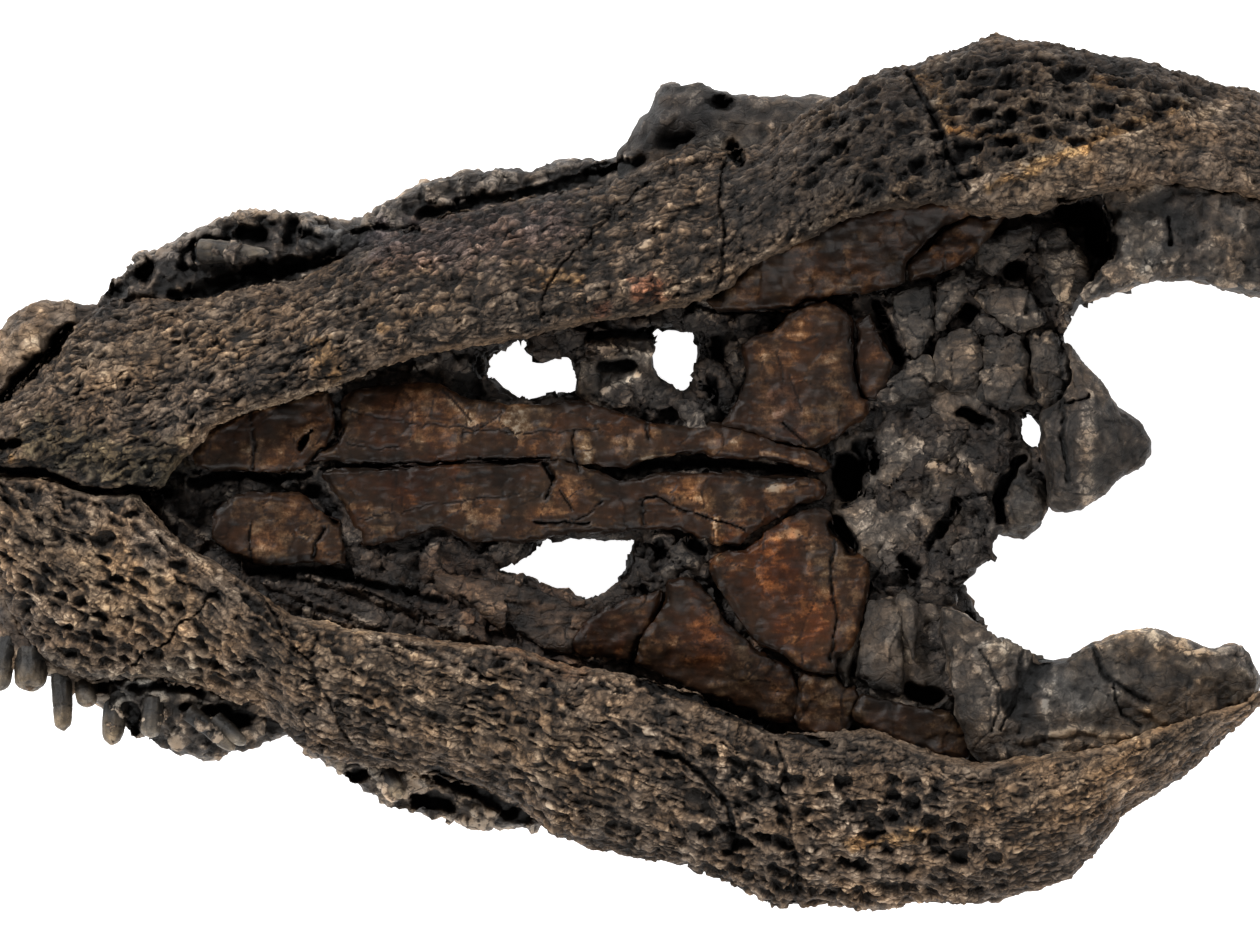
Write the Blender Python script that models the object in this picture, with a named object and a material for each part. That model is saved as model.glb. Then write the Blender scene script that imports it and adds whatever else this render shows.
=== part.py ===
"""Fossil crocodilian skull with its lower jaw in place, lying on its roof: the bones as solids.

Places and sizes in the tables are millimetres. +X runs from the snout to the back of the head, +Y to
the animal's left and +Z up, from the floor under the skull roof to the underside of the jaw.
"""

import math
from collections import namedtuple

import bmesh
import bpy
from mathutils import Vector

# Outlines of the broken plates are counted on a measured drawing seen from above: u to the right and v
# down from its upper left corner, STEP millimetres each
STEP = 0.25
DRAWING = (1260, 945)

# Driving dimensions, in millimetres
MM = 0.001
SNOUT_TIP = -172.0
JAW_END_LEFT = 178.0
JAW_END_RIGHT = 158.0
MIDDLE_X = (SNOUT_TIP + JAW_END_LEFT) / 2
BONE_GAP = 0.5
COARSE_GAP = 1.0
SUTURE = 0.4

# Heights above the floor
PALATE = 38.0
PALATE_SINKS = 6.0
PALATINE_RISE = 6.5
PALATINE_SLOPE = 0.035
PALATINE_FRONT = -80.0
ROCK_TOP = 33.0
FRONT_ROCK = (28.0, 40.0)
REAR_ROCK = (33.5, 43.5)
ROOF_THICKNESS = 13.0
TABLE_THICKNESS = 15.0

# The lower jaw's lower border, which lies uppermost, and its tooth row
CREST_AT_TIP = 52.0
CREST_RISE = 0.082
EDGE_AT_TIP = 38.0
EDGE_RISE = 0.062
JAW_THICKNESS = 25.0
JAW_TURNS_DOWN = 108.0

# Low swellings of the whole fossil, which was pressed out of shape
SWELL = 0.7
SWELL_SIZE = 22.0

# How finely the solids are faceted
RING_POINTS = 10
JAW_STEP = 13.0
TOOTH_SIDES = 6
EGG_SIDES = 8
EGG_STEPS = 6
ROUNDNESS = 0.74
MERGES = (0.00001, 0.00003, 0.00006)
FLATNESS = math.radians(3.0)
COARSE_FLATNESS = math.radians(6.0)

OUTER_BONE = ("outer_bone", (0.13, 0.095, 0.07), 0.75)
PALATE_BONE = ("palate_bone", (0.11, 0.055, 0.035), 0.5)
DARK_BONE = ("dark_bone", (0.05, 0.042, 0.036), 0.8)
ROCK = ("rock", (0.035, 0.032, 0.03), 0.9)

# One cut across a bone: how far along, its inner and outer side, measured from the midline
Cut = namedtuple("Cut", "x inner outer")
# The upper surface at the inner and outer side of a cut, and the thickness there
Depth = namedtuple("Depth", "crest edge thick thin")


def clear_scene():
    for thing in list(bpy.data.objects):
        bpy.data.objects.remove(thing)


def material(look, name):
    kind, colour, roughness = look
    made = bpy.data.materials.new(kind + "_" + name)
    made.use_nodes = True
    shader = made.node_tree.nodes["Principled BSDF"]
    shader.inputs["Base Color"].default_value = (*colour, 1.0)
    shader.inputs["Roughness"].default_value = roughness
    shader.inputs["Metallic"].default_value = 0.0
    return made


def solid(name, look, rings, tip_start=None, tip_end=None):
    """A closed solid through rings of points, closed at both ends by a fan of faces."""
    shape = bmesh.new()
    layers = [[shape.verts.new(point) for point in ring] for ring in rings]
    count = len(layers[0])
    for below, above in zip(layers, layers[1:]):
        for i in range(count):
            j = (i + 1) % count
            shape.faces.new((below[i], below[j], above[j], above[i]))
    for ring, tip in ((layers[0], tip_start), (layers[-1], tip_end)):
        centre = tip or sum((v.co for v in ring), Vector()) / count
        middle = shape.verts.new(centre)
        for i in range(count):
            shape.faces.new((ring[i], ring[(i + 1) % count], middle))
    return finished(name, look, shape)


def finished(name, look, shape):
    """The object made of a closed shape."""
    bmesh.ops.triangulate(shape, faces=shape.faces)
    bmesh.ops.recalc_face_normals(shape, faces=shape.faces)
    mesh = bpy.data.meshes.new(name)
    shape.to_mesh(mesh)
    shape.free()
    mesh.shade_smooth()
    bone = bpy.data.objects.new(name, mesh)
    bone.data.materials.append(material(look, name))
    bpy.context.scene.collection.objects.link(bone)
    return bone


def free_place(x, y, z):
    return Vector(((x - MIDDLE_X) * MM, y * MM, z * MM))


def swelling(x, y):
    """How far the fossil is pushed up and aside there, from about -1 to 1."""
    def wave(along, across, phase):
        return math.sin(2 * math.pi * (along * x + across * y) / SWELL_SIZE + phase)

    up = wave(1.0, 0.3, 0.0) + wave(-0.5, 0.9, 1.7) + wave(0.6, -0.7, 4.1)
    aside = wave(0.8, -0.4, 2.6) + wave(0.3, 0.9, 5.2)
    return 0.6 * up, 0.5 * aside


def place(x, y, z):
    """A point of a bone, on its share of the swellings: what would reach through the floor lies on it."""
    up, aside = swelling(x, y)
    share = SWELL * blend(z, 4.0, 14.0, 0.0, 1.0)
    return free_place(x, y + share * aside, max(z + share * up, 0.0))


def drawn(u, v):
    """A point of the drawing in millimetres from its middle, y up."""
    return (u - DRAWING[0] / 2) * STEP, (DRAWING[1] / 2 - v) * STEP


def blend(x, start, end, first, last):
    """An even change from the first value to the last between two places."""
    way = min(max((x - start) / (end - start), 0.0), 1.0)
    return first + (last - first) * way * way * (3 - 2 * way)


def rounded(angle):
    """A point on a rounded square of half size 1."""
    c, s = math.cos(angle), math.sin(angle)
    return math.copysign(abs(c) ** ROUNDNESS, c), math.copysign(abs(s) ** ROUNDNESS, s)


def even_turns():
    return [2 * math.pi * (i + 0.5) / RING_POINTS for i in range(RING_POINTS)]


def jaw_turns():
    """Turns round a jaw bone's cut: most of them over its upper side, where its relief is."""
    def turn(across):
        return math.acos(math.copysign(abs(across) ** (1 / ROUNDNESS), across))

    upper = [turn(across) for across in (0.93, 0.6, 0.22, -0.22, -0.6, -0.93)]
    lower = [-turn(across) for across in (-0.8, 0.0, 0.8)]
    return [0.0] + upper + [math.pi] + lower


def between(cuts, step):
    """The cuts with more between them, so that none lies further than the step from the next."""
    close = []
    for cut, following in zip(cuts, cuts[1:]):
        count = math.ceil((following.x - cut.x) / step)
        for i in range(count):
            close.append(Cut(*(a + (b - a) * i / count for a, b in zip(cut, following))))
    return close + [cuts[-1]]


def bar(name, look, side, cuts, depth, turns=even_turns):
    """A long bone through its cuts, tilted and thinned towards its outer side. side is 1 on the left."""
    rings = []
    for cut in cuts:
        crest, edge, thick, thin = depth(cut.x)
        ring = []
        for angle in turns():
            across, up = rounded(angle)
            out = (1 + across) / 2
            half = (thick + (thin - thick) * out) / 2
            y = cut.inner + (cut.outer - cut.inner) * out
            z = crest + (edge - crest) * out - half + half * up
            ring.append(place(cut.x, side * y, z))
        rings.append(ring)
    return solid(name, look, rings)


def plate(name, look, outline, top, thickness, dome=2.0, lean=(0.0, 0.0)):
    """A broad bone with this outline, seen from above: rounded at its rim, arched by dome, leaning."""
    middle_x = sum(x for x, y in outline) / len(outline)
    middle_y = sum(y for x, y in outline) / len(outline)
    rim = min(2.0, thickness / 4)
    levels = ((0.9, -thickness), (1.0, rim - thickness), (1.0, -rim), (0.88, 0.0), (0.45, 0.7 * dome))
    rings = []
    for size, height in levels:
        ring = []
        for x, y in outline:
            dx, dy = size * (x - middle_x), size * (y - middle_y)
            tilt = 0.0 if height < rim - thickness else lean[0] * dx + lean[1] * dy
            ring.append(place(middle_x + dx, middle_y + dy, top + height + tilt))
        rings.append(ring)
    return solid(name, look, rings, tip_end=place(middle_x, middle_y, top + dome))


def slab(name, look, outline, top, thickness, lean=(0.0, 0.0), holes=()):
    """A broken plate with upright sides over an outline of the drawing, with holes through it, leaning."""
    middle = [sum(drawn(*point)[k] for point in outline) / len(outline) for k in range(2)]
    shape = bmesh.new()
    edges = []
    for ring in (outline, *holes):
        verts = [shape.verts.new((*drawn(*point), top - thickness)) for point in ring]
        edges += [shape.edges.new(pair) for pair in zip(verts, verts[1:] + verts[:1])]
    filled = bmesh.ops.triangle_fill(shape, edges=edges, use_beauty=True)
    faces = [part for part in filled["geom"] if isinstance(part, bmesh.types.BMFace)]
    raised = bmesh.ops.extrude_face_region(shape, geom=faces)
    for vertex in raised["geom"]:
        if isinstance(vertex, bmesh.types.BMVert):
            vertex.co.z = top + lean[0] * (vertex.co.x - middle[0]) + lean[1] * (vertex.co.y - middle[1])
    for vertex in shape.verts:
        vertex.co = place(*vertex.co)
    return finished(name, look, shape)


def mirrored(half):
    """The whole outline of a bone on the midline from its left half, front to back."""
    return half + [(x, -y) for x, y in reversed(half)]


def evaluated(bone):
    graph = bpy.context.evaluated_depsgraph_get()
    return bpy.data.meshes.new_from_object(bone.evaluated_get(graph))


def combine(bone, other, operation):
    """Apply one exact Boolean to the bone."""
    change = bone.modifiers.new("combine", "BOOLEAN")
    change.object = other
    change.operation = operation
    change.solver = "EXACT"
    mesh = evaluated(bone)
    bone.modifiers.remove(change)
    bone.data = mesh


def grown(bone, gap):
    """A copy of the bone, larger by the gap on every side."""
    mesh = bone.data.copy()
    normals = [v.normal.copy() for v in mesh.vertices]
    for vertex, normal in zip(mesh.vertices, normals):
        vertex.co += normal * gap * MM
    copy = bpy.data.objects.new(bone.name + "_grown", mesh)
    bpy.context.scene.collection.objects.link(copy)
    return copy


def span(bone):
    points = [v.co for v in bone.data.vertices]
    return [(min(p[k] for p in points), max(p[k] for p in points)) for k in range(3)]


def apart(one, other):
    """True where the two bones' boxes are clear of each other."""
    return any(a[0] > b[1] or b[0] > a[1] for a, b in zip(span(one), span(other)))


def drop_crumbs(shape):
    """Keep the largest of the separate bits that a cut leaves."""
    left = set(shape.verts)
    groups = []
    while left:
        group, front = set(), [left.pop()]
        while front:
            vertex = front.pop()
            group.add(vertex)
            near = [e.other_vert(vertex) for e in vertex.link_edges]
            fresh = [v for v in near if v in left]
            left.difference_update(fresh)
            front.extend(fresh)
        groups.append(group)
    groups.sort(key=len)
    crumbs = [v for group in groups[:-1] for v in group]
    bmesh.ops.delete(shape, geom=crumbs, context="VERTS")


def tidied(bone, merge, flatness, method):
    """The bone's shape without its crumbs, with faces on nearly flat ground joined."""
    shape = bmesh.new()
    shape.from_mesh(bone.data)
    bmesh.ops.remove_doubles(shape, verts=shape.verts, dist=merge)
    bmesh.ops.dissolve_degenerate(shape, edges=shape.edges, dist=merge)
    drop_crumbs(shape)
    bmesh.ops.dissolve_limit(shape, angle_limit=flatness, verts=shape.verts, edges=shape.edges)
    bmesh.ops.triangulate(shape, faces=shape.faces, ngon_method=method)
    return shape


def simplify(bone, flatness):
    """Tidy the bone as coarsely as leaves it a closed solid."""
    for share in (1.0, 0.93, 0.86, 0.8, 0.73, 0.66, 0.6, 0.5, 0.4, 0.3, 0.2):
        for merge in MERGES:
            for method in ("BEAUTY", "EAR_CLIP"):
                shape = tidied(bone, merge, share * flatness, method)
                closed = all(edge.is_manifold for edge in shape.edges)
                if closed:
                    shape.to_mesh(bone.data)
                shape.free()
                if closed:
                    return


def fit_together(fine, coarse):
    """Each piece in turn gives way to those before it, so that they meet with a hairline between them. The
    coarse ones, which lie under the others, are simplified more and keep a wider hairline for it."""
    pieces = fine + coarse
    near = [grown(piece, BONE_GAP) for piece in pieces]
    wide = [grown(piece, COARSE_GAP) for piece in pieces]
    for number, piece in enumerate(pieces):
        below = number >= len(fine)
        for cutter in (wide if below else near)[:number]:
            if not apart(piece, cutter):
                combine(piece, cutter, "DIFFERENCE")
        simplify(piece, COARSE_FLATNESS if below else FLATNESS)
    for cutter in near + wide:
        bpy.data.objects.remove(cutter)


def tooth(bone, root, tip, radius):
    """A conical tooth, joined to the bone that it grows from."""
    root, tip = Vector(root), Vector(tip)
    along = (tip - root).normalized()
    aside = along.orthogonal().normalized()
    across = along.cross(aside)
    rings = []
    for way, size in ((0.0, 1.0), (0.45, 0.85), (0.8, 0.55)):
        middle = root.lerp(tip, way)
        ring = []
        for i in range(TOOTH_SIDES):
            angle = 2 * math.pi * i / TOOTH_SIDES
            offset = (aside * math.cos(angle) + across * math.sin(angle)) * radius * size
            ring.append(place(*(middle + offset)))
        rings.append(ring)
    add(bone, solid("crown", PALATE_BONE, rings, tip_end=place(*tip)))


def egg(centre, radii):
    """An egg-shaped solid, to add to a bone or to hollow it."""
    rings = []
    for step in range(1, EGG_STEPS):
        turn = math.pi * step / EGG_STEPS
        ring = []
        for i in range(EGG_SIDES):
            angle = 2 * math.pi * i / EGG_SIDES
            x = centre[0] + radii[0] * math.sin(turn) * math.cos(angle)
            y = centre[1] + radii[1] * math.sin(turn) * math.sin(angle)
            ring.append(free_place(x, y, centre[2] - radii[2] * math.cos(turn)))
        rings.append(ring)
    bottom = free_place(centre[0], centre[1], centre[2] - radii[2])
    top = free_place(centre[0], centre[1], centre[2] + radii[2])
    return solid("egg", DARK_BONE, rings, tip_start=bottom, tip_end=top)


def add(bone, extra):
    combine(bone, extra, "UNION")
    bpy.data.objects.remove(extra)


def hollow(bone, cutter):
    combine(bone, cutter, "DIFFERENCE")
    bpy.data.objects.remove(cutter)


def jaw_depth(x):
    """The lower jaw lies turned outwards: its lower border is the crest, its tooth row the low edge."""
    along = x - SNOUT_TIP
    drop = blend(x, JAW_TURNS_DOWN, JAW_END_LEFT, 0.0, 12.0)
    size = blend(x, SNOUT_TIP, -148.0, 0.45, 1.0) * blend(x, JAW_TURNS_DOWN, JAW_END_LEFT, 1.0, 0.5)
    thick = JAW_THICKNESS * size
    crest = CREST_AT_TIP + CREST_RISE * along - drop
    edge = EDGE_AT_TIP + EDGE_RISE * along - drop
    return Depth(crest, edge, thick, 0.7 * thick)


def upper_jaw_depth(x):
    """The snout is deepest in front, behind the bony nostril, and its palate is sunk along the midline."""
    thick = blend(x, -133.0, -85.0, 39.0, 31.0) - PALATE_SINKS
    thin = blend(x, -133.0, -85.0, 30.0, 18.0)
    return Depth(PALATE - PALATE_SINKS, PALATE - 3.0, thick, thin)


def tip_depth(x):
    """The snout's blunt end: it rests on the floor behind its rounded tip."""
    size = blend(x, SNOUT_TIP - 6.0, -152.0, 0.25, 1.0)
    return Depth(PALATE - 12.0 + 8.0 * size, PALATE - 12.0 + 10.0 * size, 41.0 * size, 32.0 * size)


def cheek_depth(x):
    drop = blend(x, 40.0, 98.0, 0.0, 4.0)
    return Depth(38.0 - drop, 40.0 - drop, 22.0, 20.0)


def palatine_depth(x):
    """The palatines are thin and rise towards the back."""
    level = PALATE + PALATINE_RISE + PALATINE_SLOPE * (x - PALATINE_FRONT)
    return Depth(level, level - 1.5, 4.6, 3.2)


def lower_jaw():
    dentary_left = [
        Cut(-166, 2, 10), Cut(-158, 0, 18), Cut(-149, -0.4, 26), Cut(-140, -3.6, 37), Cut(-132, -4.6, 43),
        Cut(-118, -4.6, 43.3), Cut(-112, 3, 43.5), Cut(-104, 12, 44), Cut(-94, 15.7, 46),
        Cut(-82, 18.5, 49), Cut(-70, 23.5, 55), Cut(-58, 28, 60), Cut(-45, 30.4, 65), Cut(-31, 33.4, 67.5),
        Cut(-17, 35.6, 70), Cut(-5, 38, 72.5), Cut(5, 40.3, 77), Cut(15, 42.3, 82), Cut(24, 46.4, 81)]
    dentary_right = [
        Cut(-166, 2, 14), Cut(-158, 0.8, 27), Cut(-153, 0.4, 40), Cut(-146, 1.2, 47), Cut(-137, 4.4, 51.5),
        Cut(-124, 5.4, 52), Cut(-118, 12, 52.6), Cut(-111, 18, 53.6), Cut(-102, 24.3, 56), Cut(-92, 31, 59),
        Cut(-84, 36.5, 67), Cut(-75, 38.5, 72.6), Cut(-60, 40.2, 73.4), Cut(-48, 42.4, 76.4),
        Cut(-37, 42.6, 79), Cut(-28, 44, 83), Cut(-20, 46.5, 90.5), Cut(-6, 49.2, 94.6), Cut(6, 51.5, 97.6),
        Cut(16, 55.4, 99)]
    angular_left = [
        Cut(24.4, 46.6, 80.5), Cut(34, 53.5, 81.5), Cut(44, 58.5, 89.5), Cut(55, 63.4, 97),
        Cut(65, 65.7, 101.6), Cut(76, 67.6, 103)]
    angular_right = [
        Cut(16.4, 55.6, 99), Cut(26, 60, 103.5), Cut(36, 64.6, 108), Cut(48, 65, 108.2),
        Cut(61, 63.4, 109.6), Cut(70, 68.4, 107.6), Cut(86, 72.4, 107.6)]
    surangular_left = [
        Cut(76.4, 67, 103), Cut(84, 64.5, 106.4), Cut(91, 63.6, 110), Cut(101, 65, 107.6),
        Cut(117, 69, 105.5), Cut(130, 72, 102.6), Cut(143, 71, 99.4), Cut(157, 68.4, 94.6),
        Cut(169, 68, 88), Cut(JAW_END_LEFT, 71, 80)]
    surangular_right = [
        Cut(86.4, 72.5, 107.6), Cut(97, 71.6, 105), Cut(110, 69.4, 102), Cut(117, 68, 94),
        Cut(123, 66.4, 85.4), Cut(133, 63.6, 79), Cut(143, 60, 71.6), Cut(152, 57.6, 63),
        Cut(JAW_END_RIGHT, 54, 58)]
    sides = {
        "dentary_left": (1, dentary_left), "dentary_right": (-1, dentary_right),
        "angular_left": (1, angular_left), "angular_right": (-1, angular_right),
        "surangular_left": (1, surangular_left), "surangular_right": (-1, surangular_right)}
    return [bar(name, OUTER_BONE, side, between(cuts, JAW_STEP), jaw_depth, jaw_turns)
            for name, (side, cuts) in sides.items()]


def jaw_hinge():
    articular_left = [
        (118.5, 69), (119.5, 64.4), (121.5, 53.6), (117, 50.5), (113, 43.2), (120, 45.6), (131, 48.5),
        (140, 49), (148, 47), (158, 44.5), (168, 47), (175, 56), (176, 70), (166, 80), (148, 82), (130, 80),
        (118, 76)]
    articular_right = [
        (78, -33), (83, -36), (89, -41), (99, -47.5), (109, -48), (115, -44), (124, -39.6), (132, -39.6),
        (145, -44.4), (152, -43.6), (157, -51), (154, -60), (140, -70), (118, -78), (98, -80), (84, -68),
        (80, -50), (77, -40)]
    quadrate_left = [
        (104.5, -8), (104, 0.6), (103, 5.6), (102.6, 15.6), (108, 17.6), (111, 23), (109, 30.6), (108, 34),
        (112.5, 27.6), (117.5, 20.6), (121.3, 15.6), (127, 12.6), (130, 8), (129, 4.4), (127, 2), (120, -2),
        (116, -6), (112.5, -8.6), (108.8, -9.6)]
    quadrate_right = [
        (58, -32), (68, -31), (78, -33), (86, -38), (91, -45), (91, -54), (84, -60), (70, -62), (60, -56),
        (56, -44)]
    return [
        plate("quadrate_left", DARK_BONE, quadrate_left, 56.0, 27.0, 5.0),
        plate("articular_left", DARK_BONE, articular_left, 62.0, 24.0, 2.0),
        plate("articular_right", DARK_BONE, articular_right, 58.0, 22.0, 2.0),
        plate("quadrate_right", DARK_BONE, quadrate_right, 46.0, 28.0, 2.0)]


# The broken plates that look up between the jaws: height of the upper side, thickness and lean
Plate = namedtuple("Plate", "name look top thickness lean outline")

PLATES = [
    Plate("pterygoid_left", PALATE_BONE, 50.0, 5.3, (0.02, 0.06),
          [(720, 424), (738, 400), (742, 346), (756, 336), (776, 334), (802, 305), (822, 302), (846, 312),
           (853, 322), (853, 370), (860, 397), (868, 404), (848, 426), (815, 449), (780, 441), (740, 428)]),
    Plate("pterygoid_left_edge", PALATE_BONE, 49.0, 3.9, (0.05, 0.0),
          [(856, 322), (870, 311), (877, 331), (894, 360), (877, 401), (865, 400), (856, 370)]),
    Plate("pterygoid_right", PALATE_BONE, 49.0, 4.3, (0.0, -0.06),
          [(746, 549), (792, 516), (815, 506), (829, 511), (834, 532), (846, 546), (867, 562), (866, 602),
           (852, 648), (840, 658), (836, 674), (802, 667), (762, 646), (727, 602), (709, 560)]),
    Plate("ectopterygoid_right", PALATE_BONE, 48.5, 4.4, (0.0, 0.16),
          [(668, 581), (690, 580), (722, 618), (746, 642), (789, 669), (800, 705), (794, 722), (750, 712),
           (700, 694), (636, 664), (642, 640), (657, 616)]),
    Plate("ectopterygoid_right_front", PALATE_BONE, 47.0, 4.1, (0.0, 0.12),
          [(576, 642), (586, 620), (606, 606), (662, 589), (654, 618), (639, 640), (631, 662), (600, 657)]),
    Plate("palate_shelf_right", DARK_BONE, 44.6, 2.2, (0.0, -0.1),
          [(432, 574), (495, 579), (525, 583), (550, 593), (584, 608), (600, 606), (596, 622), (572, 650),
           (540, 646), (505, 628), (470, 606), (440, 590)]),
    Plate("maxilla_shelf_left", PALATE_BONE, 43.6, 3.5, (0.0, 0.03),
          [(192, 452), (214, 428), (252, 411), (300, 398), (325, 392), (334, 405), (334, 430), (306, 464),
           (280, 470), (225, 472), (198, 468)]),
    Plate("maxilla_shelf_right", PALATE_BONE, 43.6, 3.5, (0.0, 0.0),
          [(208, 538), (212, 515), (232, 496), (250, 491), (300, 497), (322, 519), (338, 520), (346, 568),
           (312, 561), (268, 565), (228, 553)]),
    Plate("splenial_left", PALATE_BONE, 51.5, 6.4, (0.02, 0.3),
          [(702, 300), (718, 296), (762, 258), (800, 239), (850, 216), (900, 206), (958, 200), (966, 214),
           (940, 228), (905, 262), (905, 284), (850, 293), (802, 299), (790, 311), (720, 313)]),
    Plate("splenial_left_rear", PALATE_BONE, 52.5, 7.4, (0.0, 0.2),
          [(908, 264), (942, 230), (968, 216), (1010, 210), (985, 240), (955, 268), (907, 283)]),
    Plate("splenial_right", PALATE_BONE, 49.5, 4.4, (0.0, -0.08),
          [(862, 692), (903, 700), (945, 713), (957, 726), (967, 757), (940, 756), (900, 741), (866, 725),
           (854, 714)]),
    Plate("splenial_right_front", PALATE_BONE, 47.3, 2.6, (0.0, -0.05),
          [(801, 669), (835, 675), (858, 683), (861, 700), (853, 714), (848, 734), (825, 742), (796, 716)]),
    Plate("splinter_front", DARK_BONE, 47.5, 2.8, (0.0, 0.0),
          [(840, 640), (842, 612), (862, 616), (857, 650), (849, 686), (844, 683), (838, 664)]),
    Plate("splinter_middle", DARK_BONE, 50.0, 4.9, (0.0, 0.0),
          [(868, 602), (890, 599), (892, 640), (896, 680), (893, 696), (870, 690), (855, 675), (858, 650)]),
    Plate("splinter_rear", DARK_BONE, 51.5, 6.4, (0.0, 0.0),
          [(893, 596), (905, 590), (916, 598), (916, 620), (910, 663), (903, 698), (898, 680), (895, 640)]),
    Plate("ectopterygoid_left", DARK_BONE, 48.5, 3.4, (0.0, 0.0),
          [(892, 296), (902, 289), (932, 284), (933, 330), (925, 345), (914, 359), (904, 340)]),
    Plate("ectopterygoid_left_rear", DARK_BONE, 48.0, 2.9, (0.0, 0.0),
          [(936, 284), (962, 272), (968, 288), (950, 320), (938, 333)]),
    Plate("pterygoid_left_rear", DARK_BONE, 48.5, 3.4, (0.0, 0.0),
          [(882, 386), (895, 373), (924, 358), (931, 366), (918, 398), (896, 403)]),
    Plate("otic_plate_left", DARK_BONE, 51.0, 5.9, (0.0, 0.1),
          [(976, 246), (1002, 236), (1032, 228), (1028, 246), (992, 276), (978, 268)]),
    Plate("quadratojugal_left", DARK_BONE, 50.0, 4.9, (0.0, 0.0),
          [(1042, 238), (1062, 228), (1084, 258), (1092, 272), (1078, 302), (1062, 333), (1054, 318),
           (1046, 280)]),
    Plate("paroccipital_left", DARK_BONE, 49.5, 4.4, (0.0, 0.0),
          [(974, 290), (1000, 284), (1034, 292), (1046, 322), (1020, 330), (988, 310)]),
    Plate("prootic_left", DARK_BONE, 48.5, 3.4, (0.0, 0.0),
          [(940, 340), (960, 328), (976, 336), (982, 360), (972, 384), (948, 392), (936, 372)]),
    Plate("exoccipital_left", DARK_BONE, 49.0, 3.9, (0.0, 0.0),
          [(986, 336), (1020, 334), (1026, 356), (1024, 384), (1034, 402), (1004, 410), (978, 400),
           (984, 364)]),
    Plate("exoccipital_left_rear", DARK_BONE, 49.0, 3.9, (0.0, 0.0),
          [(1030, 336), (1054, 334), (1066, 356), (1072, 380), (1060, 402), (1044, 410), (1034, 388)])]


def palate():
    palatine_left = [
        Cut(-80, 3.4, 5), Cut(-75, 3.2, 9), Cut(-69, 2.8, 20), Cut(-55, 2.4, 22), Cut(-44, 2.8, 20.6),
        Cut(-33, 3, 16.5), Cut(-17, 3.2, 17), Cut(-10, 2, 18), Cut(4, 1.8, 13), Cut(22, 3.4, 12.4),
        Cut(29, 3.2, 10), Cut(40, 1.6, 6.4), Cut(50, 0.8, 2.4)]
    palatine_right = [
        Cut(-80, 1.6, 4), Cut(-73, 0.4, 6), Cut(-68, -1.2, 17.6), Cut(-55, -1.6, 16), Cut(-44, -2, 15.4),
        Cut(-33, -2.2, 17.6), Cut(-24, -2.4, 15.4), Cut(-8, -1.4, 15), Cut(8, -0.4, 15), Cut(20, -0.2, 18),
        Cut(28, 0, 17.8), Cut(36, 0.6, 11), Cut(44, 1.4, 7.6), Cut(49.5, 2.4, 5)]
    fragment = [
        (-13, 19), (-12, 29), (-8, 32.6), (3, 36), (6, 31), (5.6, 25), (10, 20), (2, 16), (-8, 15.6)]
    bones = [
        bar("palatine_left", PALATE_BONE, 1, palatine_left, palatine_depth),
        bar("palatine_right", PALATE_BONE, -1, palatine_right, palatine_depth)]
    bones += [slab(p.name, p.look, p.outline, p.top, p.thickness, p.lean) for p in PLATES]
    bones.append(plate("palate_fragment", DARK_BONE, fragment, 43.0, 23.0, 1.5))
    return bones


def skull_roof():
    nasals = mirrored([(-136, 3), (-120, 8), (-92, 12), (-62, 14), (-38.5, 12.5)])
    frontal = mirrored([(-38, 12), (-22, 11), (0, 11), (18, 12), (30, 17), (41, 22), (44, 20)])
    table = [
        (44.5, 24), (47, 33), (62, 35), (80, 38), (92, 36), (90, 22), (84, 6), (82, -8), (80, -22),
        (78, -32), (62, -34), (47, -33), (44.5, -24)]
    prefrontal = [(-72, 16), (-62, 33), (-46, 42), (-37, 38), (-38, 13), (-56, 15)]
    postorbital = [(41, 34), (40, 48), (36, 66), (50, 68), (53, 50), (56, 36.5), (47, 34.5)]
    roof = [
        plate("skull_table", OUTER_BONE, table, TABLE_THICKNESS, TABLE_THICKNESS, 0.0),
        plate("frontal", OUTER_BONE, frontal, ROOF_THICKNESS + 1.0, ROOF_THICKNESS, 0.0),
        plate("nasals", OUTER_BONE, nasals, ROOF_THICKNESS + 2.0, ROOF_THICKNESS, 0.0)]
    for side, end in ((1, "_left"), (-1, "_right")):
        front = [(x, side * y) for x, y in prefrontal]
        roof.append(plate("prefrontal" + end, OUTER_BONE, front, ROOF_THICKNESS + 3.0, ROOF_THICKNESS, 0.0))
        bar_behind_orbit = [(x, side * y) for x, y in postorbital]
        roof.append(plate("postorbital" + end, OUTER_BONE, bar_behind_orbit, 18.0, 14.0, 0.0))
        hollow(roof[0], egg((65, side * 17.5, -1.3), (11, 8.5, 8)))
    return roof


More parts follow.
